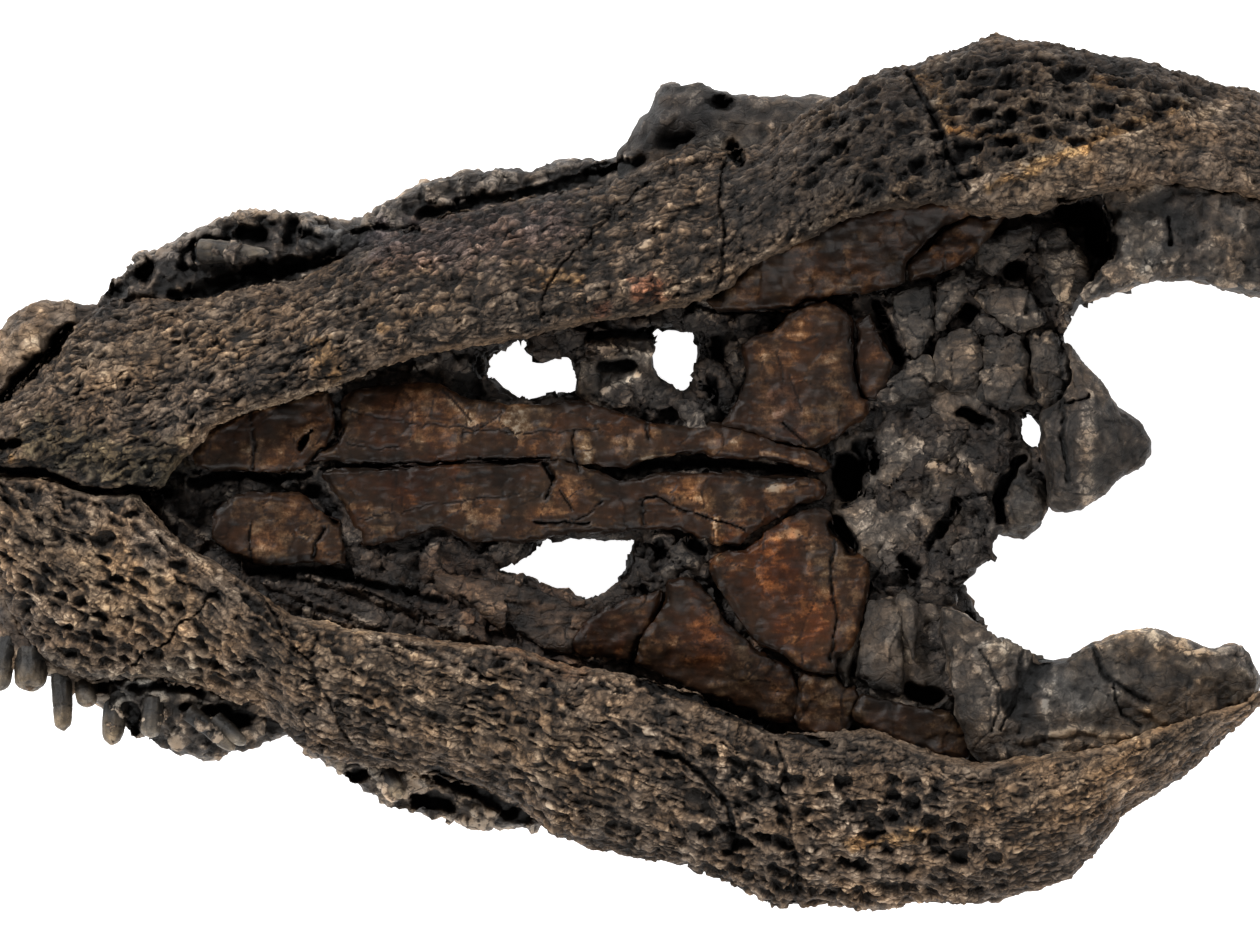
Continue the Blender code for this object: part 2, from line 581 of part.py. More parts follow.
def upper_jaw():
    premaxilla_left = [
        Cut(SNOUT_TIP, SUTURE, 8), Cut(-167, SUTURE, 23), Cut(-160, SUTURE, 34), Cut(-154, SUTURE, 41),
        Cut(-147, SUTURE, 43.4), Cut(-133.4, SUTURE, 43.4)]
    premaxilla_right = [
        Cut(SNOUT_TIP, SUTURE, 10), Cut(-166, SUTURE, 28), Cut(-158, SUTURE, 42), Cut(-150, SUTURE, 50),
        Cut(-141, SUTURE, 55), Cut(-131.4, SUTURE, 60)]
    maxilla_left = [
        Cut(-133, SUTURE, 44), Cut(-126, SUTURE, 53), Cut(-116, SUTURE, 58), Cut(-106, SUTURE, 63),
        Cut(-95, SUTURE, 66.5), Cut(-82, SUTURE, 65), Cut(-71, SUTURE, 63), Cut(-61, SUTURE, 68),
        Cut(-49, SUTURE, 74), Cut(-40, SUTURE, 76.4), Cut(-36, 30, 76.6), Cut(-27, 34, 76.6),
        Cut(-12, 32, 79), Cut(-3, 35, 80.5)]
    maxilla_right = [
        Cut(-131, SUTURE, 60), Cut(-124, SUTURE, 67.4), Cut(-115, SUTURE, 71), Cut(-106, SUTURE, 72.6),
        Cut(-96, SUTURE, 70.4), Cut(-86, SUTURE, 66), Cut(-75, SUTURE, 74.6), Cut(-66, SUTURE, 81),
        Cut(-58, SUTURE, 85.4), Cut(-46, SUTURE, 87.6), Cut(-41, SUTURE, 89), Cut(-37, 24.6, 89.6),
        Cut(-27, 27, 90), Cut(-15, 31.6, 90), Cut(-4, 38, 90)]
    jugal_left = [
        Cut(-2.6, 38, 81), Cut(4, 40, 91), Cut(9, 43, 98.4), Cut(18, 50, 98), Cut(27, 57, 95),
        Cut(42, 63, 93.6), Cut(60, 70, 95), Cut(80, 68, 96), Cut(97, 64, 90)]
    jugal_right = [
        Cut(-3.6, 40, 90), Cut(6, 44, 92), Cut(18, 53, 95), Cut(34, 63, 98), Cut(60, 68, 100),
        Cut(80, 66, 96), Cut(94, 60, 88)]
    bones = [
        bar("premaxilla_left", OUTER_BONE, 1, premaxilla_left, tip_depth),
        bar("premaxilla_right", OUTER_BONE, -1, premaxilla_right, tip_depth),
        bar("maxilla_left", DARK_BONE, 1, maxilla_left, upper_jaw_depth),
        bar("maxilla_right", DARK_BONE, -1, maxilla_right, upper_jaw_depth),
        bar("jugal_left", DARK_BONE, 1, jugal_left, cheek_depth),
        bar("jugal_right", DARK_BONE, -1, jugal_right, cheek_depth)]
    return bones


def teeth(bones):
    """The teeth that stand out past the lower jaw, each on its own upper jaw bone."""
    tooth(bones["premaxilla_right"], (-156, -40, 26), (-158.5, -55, 30), 2.6)
    tooth(bones["premaxilla_right"], (-150.5, -45, 26), (-151, -54.5, 31), 4.2)
    tooth(bones["premaxilla_right"], (-143, -49, 26), (-142.6, -65, 30), 2.6)
    tooth(bones["premaxilla_right"], (-137, -52, 26), (-136.6, -58.5, 31), 2.8)
    tooth(bones["maxilla_right"], (-129, -54, 25), (-130.4, -68.5, 29), 3.0)
    tooth(bones["maxilla_right"], (-119.5, -57, 31), (-120.5, -66.5, 34), 2.8)
    tooth(bones["maxilla_right"], (-111, -60, 34), (-99, -69.5, 36), 2.0)
    tooth(bones["maxilla_right"], (-104, -62, 34), (-96.5, -68, 38), 2.0)
    tooth(bones["maxilla_right"], (-63, -73, 32), (-57.5, -81.5, 38), 2.6)
    tooth(bones["maxilla_left"], (-108, 55.6, 34), (-90.5, 55.1, 38), 2.9)
    tooth(bones["maxilla_left"], (-82, 58, 33), (-67, 57.5, 37), 4.4)


def tooth_sockets(bones):
    """The two empty sockets at the front of the left maxilla."""
    for x, y, radius in ((-130.0, 45.6, 2.5), (-122.5, 50.6, 3.0)):
        hollow(bones["maxilla_left"], egg((x, y, 36.0), (radius, radius, 3 * radius)))


def inner_nostril(bones):
    """The opening of the air passage, between the pterygoids and the braincase."""
    for bone in bones:
        if bone.name in ("rock_front", "braincase"):
            hollow(bone, egg((54.0, -1.0, 46.0), (6.5, 8.0, 9.0)))


def nostrils(bones):
    """The bony nostril, which opens in the snout's roof between the two premaxillae."""
    for side in ("premaxilla_left", "premaxilla_right"):
        hollow(bones[side], egg((-147, 0, -1.3), (13, 9.5, 11)))


# The rock between the palate's plates, and the openings through it
FRONT_OUTLINE = [
    (150, 480), (200, 400), (330, 365), (480, 340), (620, 310), (740, 270), (800, 250), (868, 232),
    (868, 730), (800, 735), (640, 680), (560, 668), (430, 650), (310, 650), (250, 610), (165, 530)]
OPENING_LEFT_FRONT = [
    (476, 365), (478, 355), (490, 347), (533, 335), (530, 348), (540, 358), (578, 356), (580, 395),
    (522, 402), (500, 390)]
OPENING_LEFT_REAR = [
    (642, 333), (655, 326), (692, 328), (702, 345), (701, 370), (685, 393), (672, 396), (655, 371),
    (654, 345)]
OPENING_RIGHT = [
    (483, 575), (503, 562), (530, 553), (545, 538), (600, 535), (638, 534), (640, 545), (612, 592),
    (603, 602), (585, 606), (525, 580)]
REAR_OUTLINE = [
    (870, 230), (1000, 205), (1110, 190), (1150, 180), (1150, 278), (1095, 294), (1078, 300), (1060, 328),
    (1066, 345), (1090, 380), (1100, 410), (1085, 430), (1050, 470), (1010, 525), (975, 528), (984, 550),
    (965, 568), (945, 600), (948, 620), (985, 640), (1000, 700), (940, 745), (870, 735)]
OPENING_REAR = [(1021, 418), (1030, 419), (1038, 430), (1044, 447), (1034, 446), (1024, 432)]


def rock_fill():
    left = [
        (21, 20), (25, 36), (38, 54), (64, 64), (90, 62), (97, 48), (93, 32), (80, 20), (62, 13), (44, 11),
        (30, 13)]
    right = [
        (3.4, -18), (18, -13), (44, -11), (60, -18), (82, -26), (89, -40), (90, -58), (70, -68), (40, -66),
        (18, -58), (5, -42)]
    openings = (OPENING_LEFT_FRONT, OPENING_LEFT_REAR, OPENING_RIGHT)
    front_depth = FRONT_ROCK[1] - FRONT_ROCK[0]
    rear_depth = REAR_ROCK[1] - REAR_ROCK[0]
    rise = (PALATINE_SLOPE, 0.0)
    return [
        slab("rock_front", ROCK, FRONT_OUTLINE, FRONT_ROCK[1], front_depth, rise, openings),
        slab("rock_rear", ROCK, REAR_OUTLINE, REAR_ROCK[1], rear_depth, holes=(OPENING_REAR,)),
        plate("rock_left", ROCK, left, ROCK_TOP, ROCK_TOP - 11.0, 0.0),
        plate("rock_right", ROCK, right, ROCK_TOP, ROCK_TOP - 11.0, 0.0)]


def braincase():
    outline = [
        (50, 8), (56, 15), (66, 20), (76, 27), (85, 33), (92, 28), (98, 18), (101, 6), (102, -8), (97, -16),
        (90, -14), (87, -18), (86, -25), (80, -29), (69, -28), (60, -25), (54, -19), (50, -8)]
    bone = plate("braincase", DARK_BONE, outline, 45.0, 31.0, 2.0)
    add(bone, egg((98.5, -8, 42), (6.2, 8.4, 8.4)))
    return bone


def main():
    clear_scene()
    jaws = lower_jaw() + jaw_hinge()
    face = upper_jaw()
    named = {bone.name: bone for bone in face}
    teeth(named)
    tooth_sockets(named)
    nostrils(named)
    fine = jaws + [braincase()] + palate() + skull_roof()
    coarse = face + rock_fill()
    fit_together(fine, coarse)
    inner_nostril(fine + coarse)


main()
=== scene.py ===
"""Looks of the fossil crocodilian skull: the finely shaped bones, their materials, light and camera.

The skull lies on its roof, so its palate and lower jaw look up. Points in the tables are counted on a
measured drawing seen from above: u to the right and v down from its upper left corner, STEP millimetres
each. Lengths and heights are millimetres, with heights from the floor. The drawing's middle lies MIDDLE_X
nearer to the snout than the frame's origin.
"""

import itertools
import math
from collections import namedtuple

import bmesh
import bpy
import numpy as np
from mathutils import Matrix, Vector


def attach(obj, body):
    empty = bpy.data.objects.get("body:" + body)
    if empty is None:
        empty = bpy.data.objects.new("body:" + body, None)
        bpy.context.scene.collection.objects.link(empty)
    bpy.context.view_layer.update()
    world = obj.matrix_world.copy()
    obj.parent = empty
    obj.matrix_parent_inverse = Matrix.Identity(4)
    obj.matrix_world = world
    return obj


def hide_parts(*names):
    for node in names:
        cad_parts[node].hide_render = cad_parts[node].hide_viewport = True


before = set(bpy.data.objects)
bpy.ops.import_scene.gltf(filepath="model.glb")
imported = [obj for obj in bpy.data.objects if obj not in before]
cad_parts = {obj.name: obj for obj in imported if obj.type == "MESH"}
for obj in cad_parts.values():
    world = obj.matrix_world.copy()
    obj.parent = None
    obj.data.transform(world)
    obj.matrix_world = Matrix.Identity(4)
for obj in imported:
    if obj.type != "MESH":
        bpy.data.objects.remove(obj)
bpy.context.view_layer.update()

MM = 0.001
MIDDLE_X = 3.0

# The drawing and the camera above it
STEP = 0.25
DRAWING = (1260, 945)
PALATE_HEIGHT = 45.0
LENS = 300.0
SENSOR = 36.0

# Mesh sizes: faces whose normals rise by more than UPPER are split once more
FINE = 0.85
MEDIUM = 0.95
COARSE = 1.1
TOOTH_MESH = 0.4
UPPER = 0.12

# How strongly a rise of one millimetre lightens a surface with painted highlight (a sink darkens it with
# painted shade), and the darkest level outside pits
RELIEF_LIGHT_AND_SHADE = 0.6
LEAST_LEVEL = 0.04

# Half of the gap between neighbouring solids, which the bones grow by to touch
GAP_FILL = 0.3

Pits = namedtuple("Pits", "along across depth share")
Relief = namedtuple("Relief", "along across height")
Slab = namedtuple("Slab", "name slot top thick rise_x rise_y outline")
PlateFinish = namedtuple("PlateFinish", "flat lift gap line grain")
Splinter = namedtuple("Splinter", "rise outline")
Chips = namedtuple("Chips", "count size rise outline")
Tooth = namedtuple("Tooth", "bone root tip radius taper")
Rock = namedtuple("Rock", "node outline bottom top rise_x middle_x chips")
Plain = namedtuple("Plain", "slot voxel refine smoothing size height names")
Palette = namedtuple(
    "Palette", "pit dark middle accent pale hue roughness gloss bump mottle fleck flake split")


def drawn(u, v):
    """A point of the drawing in millimetres from its middle, y up."""
    return ((u - DRAWING[0] / 2) * STEP, (DRAWING[1] / 2 - v) * STEP)


def drawn_all(points):
    return [drawn(u, v) for u, v in points]


# ---------------------------------------------------------------- noise
# The last number that each noise is given is its seed, which picks one pattern out of many

SLOPES = np.array([
    (1, 1, 0), (-1, 1, 0), (1, -1, 0), (-1, -1, 0), (1, 0, 1), (-1, 0, 1), (1, 0, -1), (-1, 0, -1),
    (0, 1, 1), (0, -1, 1), (0, 1, -1), (0, -1, -1)], np.float32)
NOISE_GAIN = 1.2

# The factors and shifts that scramble a cell's numbers, and the bits that are kept
CELL_FACTORS = (73856093, 19349663, 83492791)
SEED_FACTOR = 2654435761
SCRAMBLES = ((13, 1274126177), (15, 2246822519))
LAST_SHIFT = 16
WORD = 0xFFFFFFFF
HASH_TOP = 0xFFFFFF

# How far a scattered centre stays from its cell's sides, and a squared distance beyond all centres
CELL_MARGIN = 0.15
FAR = 9.0


def scrambled(cells, seed):
    """An even whole random number for each whole-numbered cell."""
    mixed = seed * SEED_FACTOR
    for k, factor in enumerate(CELL_FACTORS):
        mixed = mixed ^ (cells[:, k] * factor)
    for shift, factor in SCRAMBLES:
        mixed = ((mixed ^ (mixed >> shift)) * factor) & WORD
    return (mixed ^ (mixed >> LAST_SHIFT)) & HASH_TOP


def hashed(cells, seed):
    """An even random number from 0 to 1 for each whole-numbered cell."""
    return scrambled(cells, seed).astype(np.float32) / HASH_TOP


def noise(points, size, seed):
    """Smooth noise from about -1 to 1 with features of this size."""
    q = points / size
    base = np.floor(q).astype(np.int64)
    part = (q - base).astype(np.float32)
    fade = part * part * part * (part * (part * 6 - 15) + 10)
    total = np.zeros(len(points), np.float32)
    for corner in itertools.product((0, 1), repeat=3):
        weight = np.ones(len(points), np.float32)
        for k in range(3):
            weight *= fade[:, k] if corner[k] else 1 - fade[:, k]
        slope = SLOPES[scrambled(base + np.array(corner), seed) % len(SLOPES)]
        total += weight * ((part - np.array(corner, np.float32)) * slope).sum(axis=1)
    return total * NOISE_GAIN


def noise_vectors(points, size, seed):
    """Three noises as the parts of one vector for each point."""
    return np.stack([noise(points, size, seed + k) for k in range(3)], axis=1)


def rough(points, size, octaves, seed):
    """Noises of ever half the size and height, summed."""
    total = np.zeros(len(points), np.float32)
    for n in range(octaves):
        total += noise(points, size / 2 ** n, seed + n) / 2 ** n
    return total


def scattered(points, seed):
    """For scattered centres, one in each unit cell: the distances to the nearest two, the nearest one's
    random number and the way from it."""
    base = np.floor(points).astype(np.int64)
    first = np.full(len(points), FAR, np.float32)
    second = first.copy()
    number = np.zeros(len(points), np.float32)
    way = np.zeros((len(points), 3), np.float32)
    for step in itertools.product((-1, 0, 1), repeat=3):
        cell = base + np.array(step)
        centre = np.stack([
            cell[:, k] + CELL_MARGIN + (1 - 2 * CELL_MARGIN) * hashed(cell, seed + 17 * k + 1)
            for k in range(3)], axis=1)
        from_centre = (points - centre).astype(np.float32)
        away = (from_centre ** 2).sum(axis=1)
        nearer = away < first
        second = np.where(nearer, first, np.minimum(second, away))
        number = np.where(nearer, hashed(cell, seed + 91), number)
        way = np.where(nearer[:, None], from_centre, way)
        first = np.where(nearer, away, first)
    return np.sqrt(first), np.sqrt(second), number, way


def ramp(value, low, high):
    """A smooth change from 0 at low to 1 at high."""
    way = np.clip((value - low) / (high - low), 0.0, 1.0)
    return way * way * (3 - 2 * way)


def distance_to_line(x, y, points):
    """Distance in plan from each x, y to a line through the points, or to a single point."""
    best = np.full(len(x), 1e6, np.float32)
    for (ax, ay), (bx, by) in zip(points, points[1:] or points):
        dx, dy = bx - ax, by - ay
        along = np.clip(((x - ax) * dx + (y - ay) * dy) / (dx * dx + dy * dy + 1e-9), 0, 1)
        best = np.minimum(best, np.hypot(x - ax - along * dx, y - ay - along * dy))
    return best


def inside(points, outline):
    """Which of the points lie within an outline, both in millimetres."""
    x, y = points[:, 0], points[:, 1]
    hit = np.zeros(len(points), bool)
    for (ax, ay), (bx, by) in zip(outline, outline[1:] + outline[:1]):
        crosses = (ay > y) != (by > y)
        hit ^= crosses & (x < (bx - ax) * (y - ay) / (by - ay + 1e-9) + ax)
    return hit


# ---------------------------------------------------------------- meshes to start from

WELD = 0.00001
SLIT_DEPTHS = (-5.0, 90.0)

# A splinter: how many points its hull has, how long it is each way for its size, and how far it leans
CHIP_POINTS = 11
CHIP_LENGTHS = ((0.9, 1.9), (0.45, 0.9), (0.25, 0.45))
CHIP_LEAN = 0.3

# Strewn splinters: tries for each, how far off a hole's rim for their size, and how size and height vary
CHIP_TRIES = 6
CHIP_CLEARANCE = 0.6
CHIP_SIZES = (0.5, 1.4)
CHIP_LIFTS = (-1.2, 0.8)


def cad_mesh(name):
    """The solid's mesh with its split points joined."""
    shape = bmesh.new()
    shape.from_mesh(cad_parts[name].data)
    bmesh.ops.remove_doubles(shape, verts=shape.verts, dist=WELD)
    bmesh.ops.recalc_face_normals(shape, faces=shape.faces)
    return shape


def add_prism(shape, outline, bottom, top, holes=()):
    """Add an upright prism over an outline of the drawing, with holes through it."""
    edges = []
    for ring in (outline, *holes):
        verts = [shape.verts.new(((x - MIDDLE_X) * MM, y * MM, bottom * MM)) for x, y in drawn_all(ring)]
        edges += [shape.edges.new((a, b)) for a, b in zip(verts, verts[1:] + verts[:1])]
    filled = bmesh.ops.triangle_fill(shape, edges=edges, use_beauty=True)
    faces = [f for f in filled["geom"] if isinstance(f, bmesh.types.BMFace)]
    raised = bmesh.ops.extrude_face_region(shape, geom=faces)
    verts = [v for v in raised["geom"] if isinstance(v, bmesh.types.BMVert)]
    bmesh.ops.translate(shape, verts=verts, vec=(0, 0, (top - bottom) * MM))


def add_chip(shape, place, size, dice):
    """Add one angular splinter: the hull of a few points in a flattened lump."""
    turn = dice.uniform(0, math.tau)
    lengths = size * np.array([dice.uniform(*span) for span in CHIP_LENGTHS])
    points = dice.normal(size=(CHIP_POINTS, 3))
    points *= lengths / 2 / np.linalg.norm(points, axis=1)[:, None]
    lean = dice.uniform(-CHIP_LEAN, CHIP_LEAN)
    x = points[:, 0] * math.cos(turn) - points[:, 1] * math.sin(turn)
    y = points[:, 0] * math.sin(turn) + points[:, 1] * math.cos(turn)
    z = points[:, 2] + lean * x
    verts = [shape.verts.new(((place[0] + a - MIDDLE_X) * MM, (place[1] + b) * MM, (place[2] + c) * MM))
             for a, b, c in zip(x, y, z)]
    bmesh.ops.convex_hull(shape, input=verts)
    loose = [v for v in verts if v.is_valid and not v.link_faces]
    bmesh.ops.delete(shape, geom=loose, context="VERTS")


def add_chips(shape, chips, top, holes, dice):
    """Strew splinters over an outline of the drawing, about the height of a top, clear of holes."""
    outline = drawn_all(chips.outline)
    low, high = np.min(outline, axis=0), np.max(outline, axis=0)
    tries = dice.uniform(low, high, size=(chips.count * CHIP_TRIES, 2))
    for hole in holes:
        off_rim = distance_to_line(tries[:, 0], tries[:, 1], hole + hole[:1])
        tries = tries[off_rim > CHIP_CLEARANCE * chips.size]
        tries = tries[~inside(tries, hole)]
    for x, y in tries[inside(tries, outline)][:chips.count]:
        size = chips.size * dice.uniform(*CHIP_SIZES)
        add_chip(shape, (x, y, top + chips.rise + dice.uniform(*CHIP_LIFTS)), size, dice)


def halve_upper_faces(mesh):
    """Split each face that looks up into four, so that what shows from above is the finest."""
    shape = bmesh.new()
    shape.from_mesh(mesh)
    shape.normal_update()
    edges = [e for e in shape.edges if any(f.normal.z > UPPER for f in e.link_faces)]
    bmesh.ops.subdivide_edges(shape, edges=edges, cuts=1, use_grid_fill=True)
    shape.to_mesh(mesh)
    shape.free()


def linked(name, data):
    """A new object in the scene."""
    made = bpy.data.objects.new(name, data)
    bpy.context.scene.collection.objects.link(made)
    return made


def base_object(shape):
    """An object in the scene with a bmesh's shape, which is used up."""
    bmesh.ops.recalc_face_normals(shape, faces=shape.faces)
    mesh = bpy.data.meshes.new("base")
    shape.to_mesh(mesh)
    shape.free()
    return linked("base", mesh)


def slit_cutter():
    """An upright prism that opens the slit beside the braincase."""
    shape = bmesh.new()
    add_prism(shape, SLIT, *SLIT_DEPTHS)
    return base_object(shape)


def remeshed(shape, voxel, smoothing, refine, slit):
    """An even mesh over the outside of a bmesh, which is used up."""
    holder = base_object(shape)
    even = holder.modifiers.new("even", "REMESH")
    even.mode = "VOXEL"
    even.voxel_size = voxel * MM
    cutter = slit_cutter() if slit else None
    if slit:
        opening = holder.modifiers.new("slit", "BOOLEAN")
        opening.operation = "DIFFERENCE"
        opening.object = cutter
    soft = holder.modifiers.new("soft", "SMOOTH")
    soft.factor = 0.5
    soft.iterations = smoothing
    graph = bpy.context.evaluated_depsgraph_get()
    result = bpy.data.meshes.new_from_object(holder.evaluated_get(graph))
    bpy.data.objects.remove(holder)
    if slit:
        bpy.data.objects.remove(cutter)
    if refine:
        halve_upper_faces(result)
    return result


# ---------------------------------------------------------------- the shape of a bone

# Size, amount and seed of the unevenness that all bones share
WARPS = ((7.0, 0.55, 300), (3.0, 0.4, 310))

# Broken flats: how far their edges wander, how far they lean, and how deep the gaps are and how dark with
# painted shade
FLAT_WANDER = 0.25
FLAT_LEAN = 1.1
FLAT_GAP = 0.7
FLAT_GAP_SHADE = 0.6

# Grain: how many octaves it has and how strongly its rises show as painted highlight and its hollows as
# painted shade
GRAIN_OCTAVES = 2
GRAIN_LIGHT_AND_SHADE = 1.6

# Where the side of a cut, a ridge and a tint begins and ends, as shares of its radius
CUT_SIDE = (0.45, 1.15)
RIDGE_SIDE = (0.25, 1.2)
WASH_SIDE = (0.3, 1.1)

# Only what does not look further down than this is cut, raised or tinted along lines
UNDERSIDE = -0.2


class Bone:
    """A finely meshed bone whose points are held as arrays while it is shaped, in drawing millimetres.
    Its relief, pits and tint are what its material reads: its relief is painted highlight where it rises and
    painted shade where it sinks, its pits are painted shade in recesses, and its tint holds tints with some
    painted shade and highlight."""

    def __init__(self, name, shape, voxel, smoothing, refine=True):
        self.name = name
        self.mesh = remeshed(shape, voxel, smoothing, refine, name in SLIT_PIECES)
        count = len(self.mesh.vertices)
        flat = np.empty(count * 3, np.float32)
        self.mesh.vertices.foreach_get("co", flat)
        self.points = flat.reshape(-1, 3) / MM
        self.points[:, 0] += MIDDLE_X
        self.relief = np.zeros(count, np.float32)
        self.pit = np.zeros(count, np.float32)
        self.tint = np.ones((count, 3), np.float32)
        self.read_normals()

    def read_normals(self):
        flat = np.empty(len(self.points) * 3, np.float32)
        self.mesh.vertex_normals.foreach_get("vector", flat)
        self.normals = flat.reshape(-1, 3)

    def write(self):
        placed = self.points.copy()
        placed[:, 0] -= MIDDLE_X
        placed[:, 2] = np.maximum(placed[:, 2], 0.0)
        self.mesh.vertices.foreach_set("co", (placed * MM).astype(np.float32).ravel())
        self.mesh.update()

    def refresh(self):
        self.write()
        self.read_normals()

    def grow(self, amount):
        self.points += self.normals * amount

    def push(self, amount, tone=1.0):
        """Move each point out along the surface by its own amount, which lightens it with painted highlight
        where it rises and darkens it with painted shade where it sinks.
        """
        self.points += self.normals * amount[:, None]
        self.relief += tone * amount

    def paint_recess_shade(self, pit):
        """Darken each point with painted shade to at least its own pit, from 0 to 1."""
        self.pit = np.maximum(self.pit, pit)

    def shade(self, share):
        """Multiply each point's tint by its own share."""
        self.tint *= share[:, None]

    def mottle(self, *patches):
        """Lighter and darker patches, each kind with its share, size and seed."""
        self.shade(1 + sum(share * noise(self.points, size, seed) for share, size, seed in patches))

    def warp(self):
        """A gentle unevenness that all bones share, so that their seams stay closed."""
        for size, amount, seed in WARPS:
            self.points += amount * noise_vectors(self.points, size, seed)
        self.refresh()

    def grain(self, size, height, seed):
        self.push(height * rough(self.points, size, GRAIN_OCTAVES, seed), GRAIN_LIGHT_AND_SHADE)

    def facets(self, size, height, seed, crack, shade, tone=0.6):
        """Broken flats: each patch leans, stands and is toned its own way, lighter with painted highlight
        where it stands higher, with a gap of painted shade round it.
        """
        wander = FLAT_WANDER * size * noise_vectors(self.points, 0.7 * size, seed)
        first, second, number, way = scattered((self.points + wander) / size, seed)
        cell_lean = np.stack([np.cos(number * 97), np.sin(number * 61), np.cos(number * 31)], axis=1)
        lift = (number - 0.5) + FLAT_LEAN * (way * cell_lean).sum(axis=1)
        gap = 1 - ramp(second - first, 0.0, crack)
        self.push(height * (lift - FLAT_GAP * gap), tone)
        self.paint_recess_shade(FLAT_GAP_SHADE * gap)
        patch = (number * 1e6).astype(np.int64)[:, None].repeat(3, 1)
        self.shade(1 + shade * (2 * hashed(patch, seed) - 1))

    def near(self, points, reach):
        """The points that look up and lie near a line of the drawing, with their distances to it."""
        line = drawn_all(points)
        low, high = np.min(line, axis=0) - 2 * reach, np.max(line, axis=0) + 2 * reach
        chosen = ((self.points[:, :2] > low) & (self.points[:, :2] < high)).all(axis=1)
        chosen &= self.normals[:, 2] > UNDERSIDE
        here = self.points[chosen]
        if len(here) == 0:
            return chosen, None
        wander = 0.8 * noise(here, 5.0, 5) + 0.35 * noise(here, 1.8, 6)
        away = distance_to_line(here[:, 0] + wander, here[:, 1] - wander, line)
        return chosen, away * (1 + 0.4 * noise(here, 3.5, 9))

    def cut(self, radius, depth, points):
        """Sink a crack, gap or hollow straight down along a line of the drawing, and darken it with painted
        shade.
        """
        chosen, away = self.near(points, radius)
        if away is None:
            return
        furrow = 1 - ramp(away, CUT_SIDE[0] * radius, CUT_SIDE[1] * radius)
        self.points[chosen, 2] -= depth * furrow
        cut_shade = ramp(furrow, 0.15, 0.8) * min(1.0, 0.55 + 0.2 * depth)
        self.pit[chosen] = np.maximum(self.pit[chosen], cut_shade)

    def ridge(self, radius, height, points):
        """Raise a worn ridge or lump along a line of the drawing, lighter than what is round it with painted
        highlight.
        """
        chosen, away = self.near(points, radius)
        if away is None:
            return
        lift = 1 - ramp(away, RIDGE_SIDE[0] * radius, RIDGE_SIDE[1] * radius)
        self.points[chosen, 2] += height * lift
        self.relief[chosen] += 0.75 * lift * min(1.0, 0.6 / height)

    def wash(self, tint, radius, points):
        """Tint the surface softly along a line of the drawing; the dark and light tints are partly painted
        shade and highlight.
        """
        chosen, away = self.near(points, radius)
        if away is None:
            return
        soft = away / radius + 0.45 * noise(self.points[chosen], 2.6, 8)
        share = (1 - ramp(soft, *WASH_SIDE))[:, None]
        self.tint[chosen] *= 1 + share * (np.array(TINTS[tint], np.float32) - 1)

    def clear(self, u, v, radius_x, radius_y):
        """Keep a hole open by moving what lies in it out to its rim."""
        x, y = drawn(u, v)
        off = (self.points[:, :2] - (x, y)) / (radius_x, radius_y)
        away = np.hypot(off[:, 0], off[:, 1])
        rim = 1 + 0.2 * noise(self.points, 4.0, 12)
        within = away < rim
        moved = off * (rim / np.maximum(away, 0.05))[:, None] * (radius_x, radius_y) + (x, y)
        self.points[within, :2] = moved[within]

    def mark(self):
        """What the drawing shows: its small holes, ridges, cuts and tints."""
        for hole in OPEN_HOLES:
            self.clear(*hole)
        for radius, height, points in RIDGES:
            self.ridge(radius, height, points)
        for radius, depth, points in CUTS:
            self.cut(radius, depth, points)
        for tint, washes in WASHES.items():
            for radius, points in washes:
                self.wash(tint, radius, points)

    def finish(self, slot, *nodes, material=None):
        """Make the bone a piece of the scene."""
        self.write()
        # The level is painted highlight on raised parts and painted shade on sunken parts, black in the pits
        level = self.mesh.attributes.new("level", "FLOAT", "POINT")
        height = np.clip(0.5 + RELIEF_LIGHT_AND_SHADE * self.relief, LEAST_LEVEL, 1) * (1 - np.clip(self.pit, 0, 1))
        level.data.foreach_set("value", height.astype(np.float32))
        tint = self.mesh.attributes.new("tint", "FLOAT_COLOR", "POINT")
        opaque = np.ones((len(self.tint), 1), np.float32)
        tint.data.foreach_set("color", np.hstack([self.tint, opaque]).astype(np.float32).ravel())
        self.mesh.shade_smooth()
        self.mesh.materials.clear()
        self.mesh.materials.append(MATERIALS[material or slot])
        piece = linked(self.name, self.mesh)
        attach(piece, "root")
        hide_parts(*nodes)


# ---------------------------------------------------------------- materials

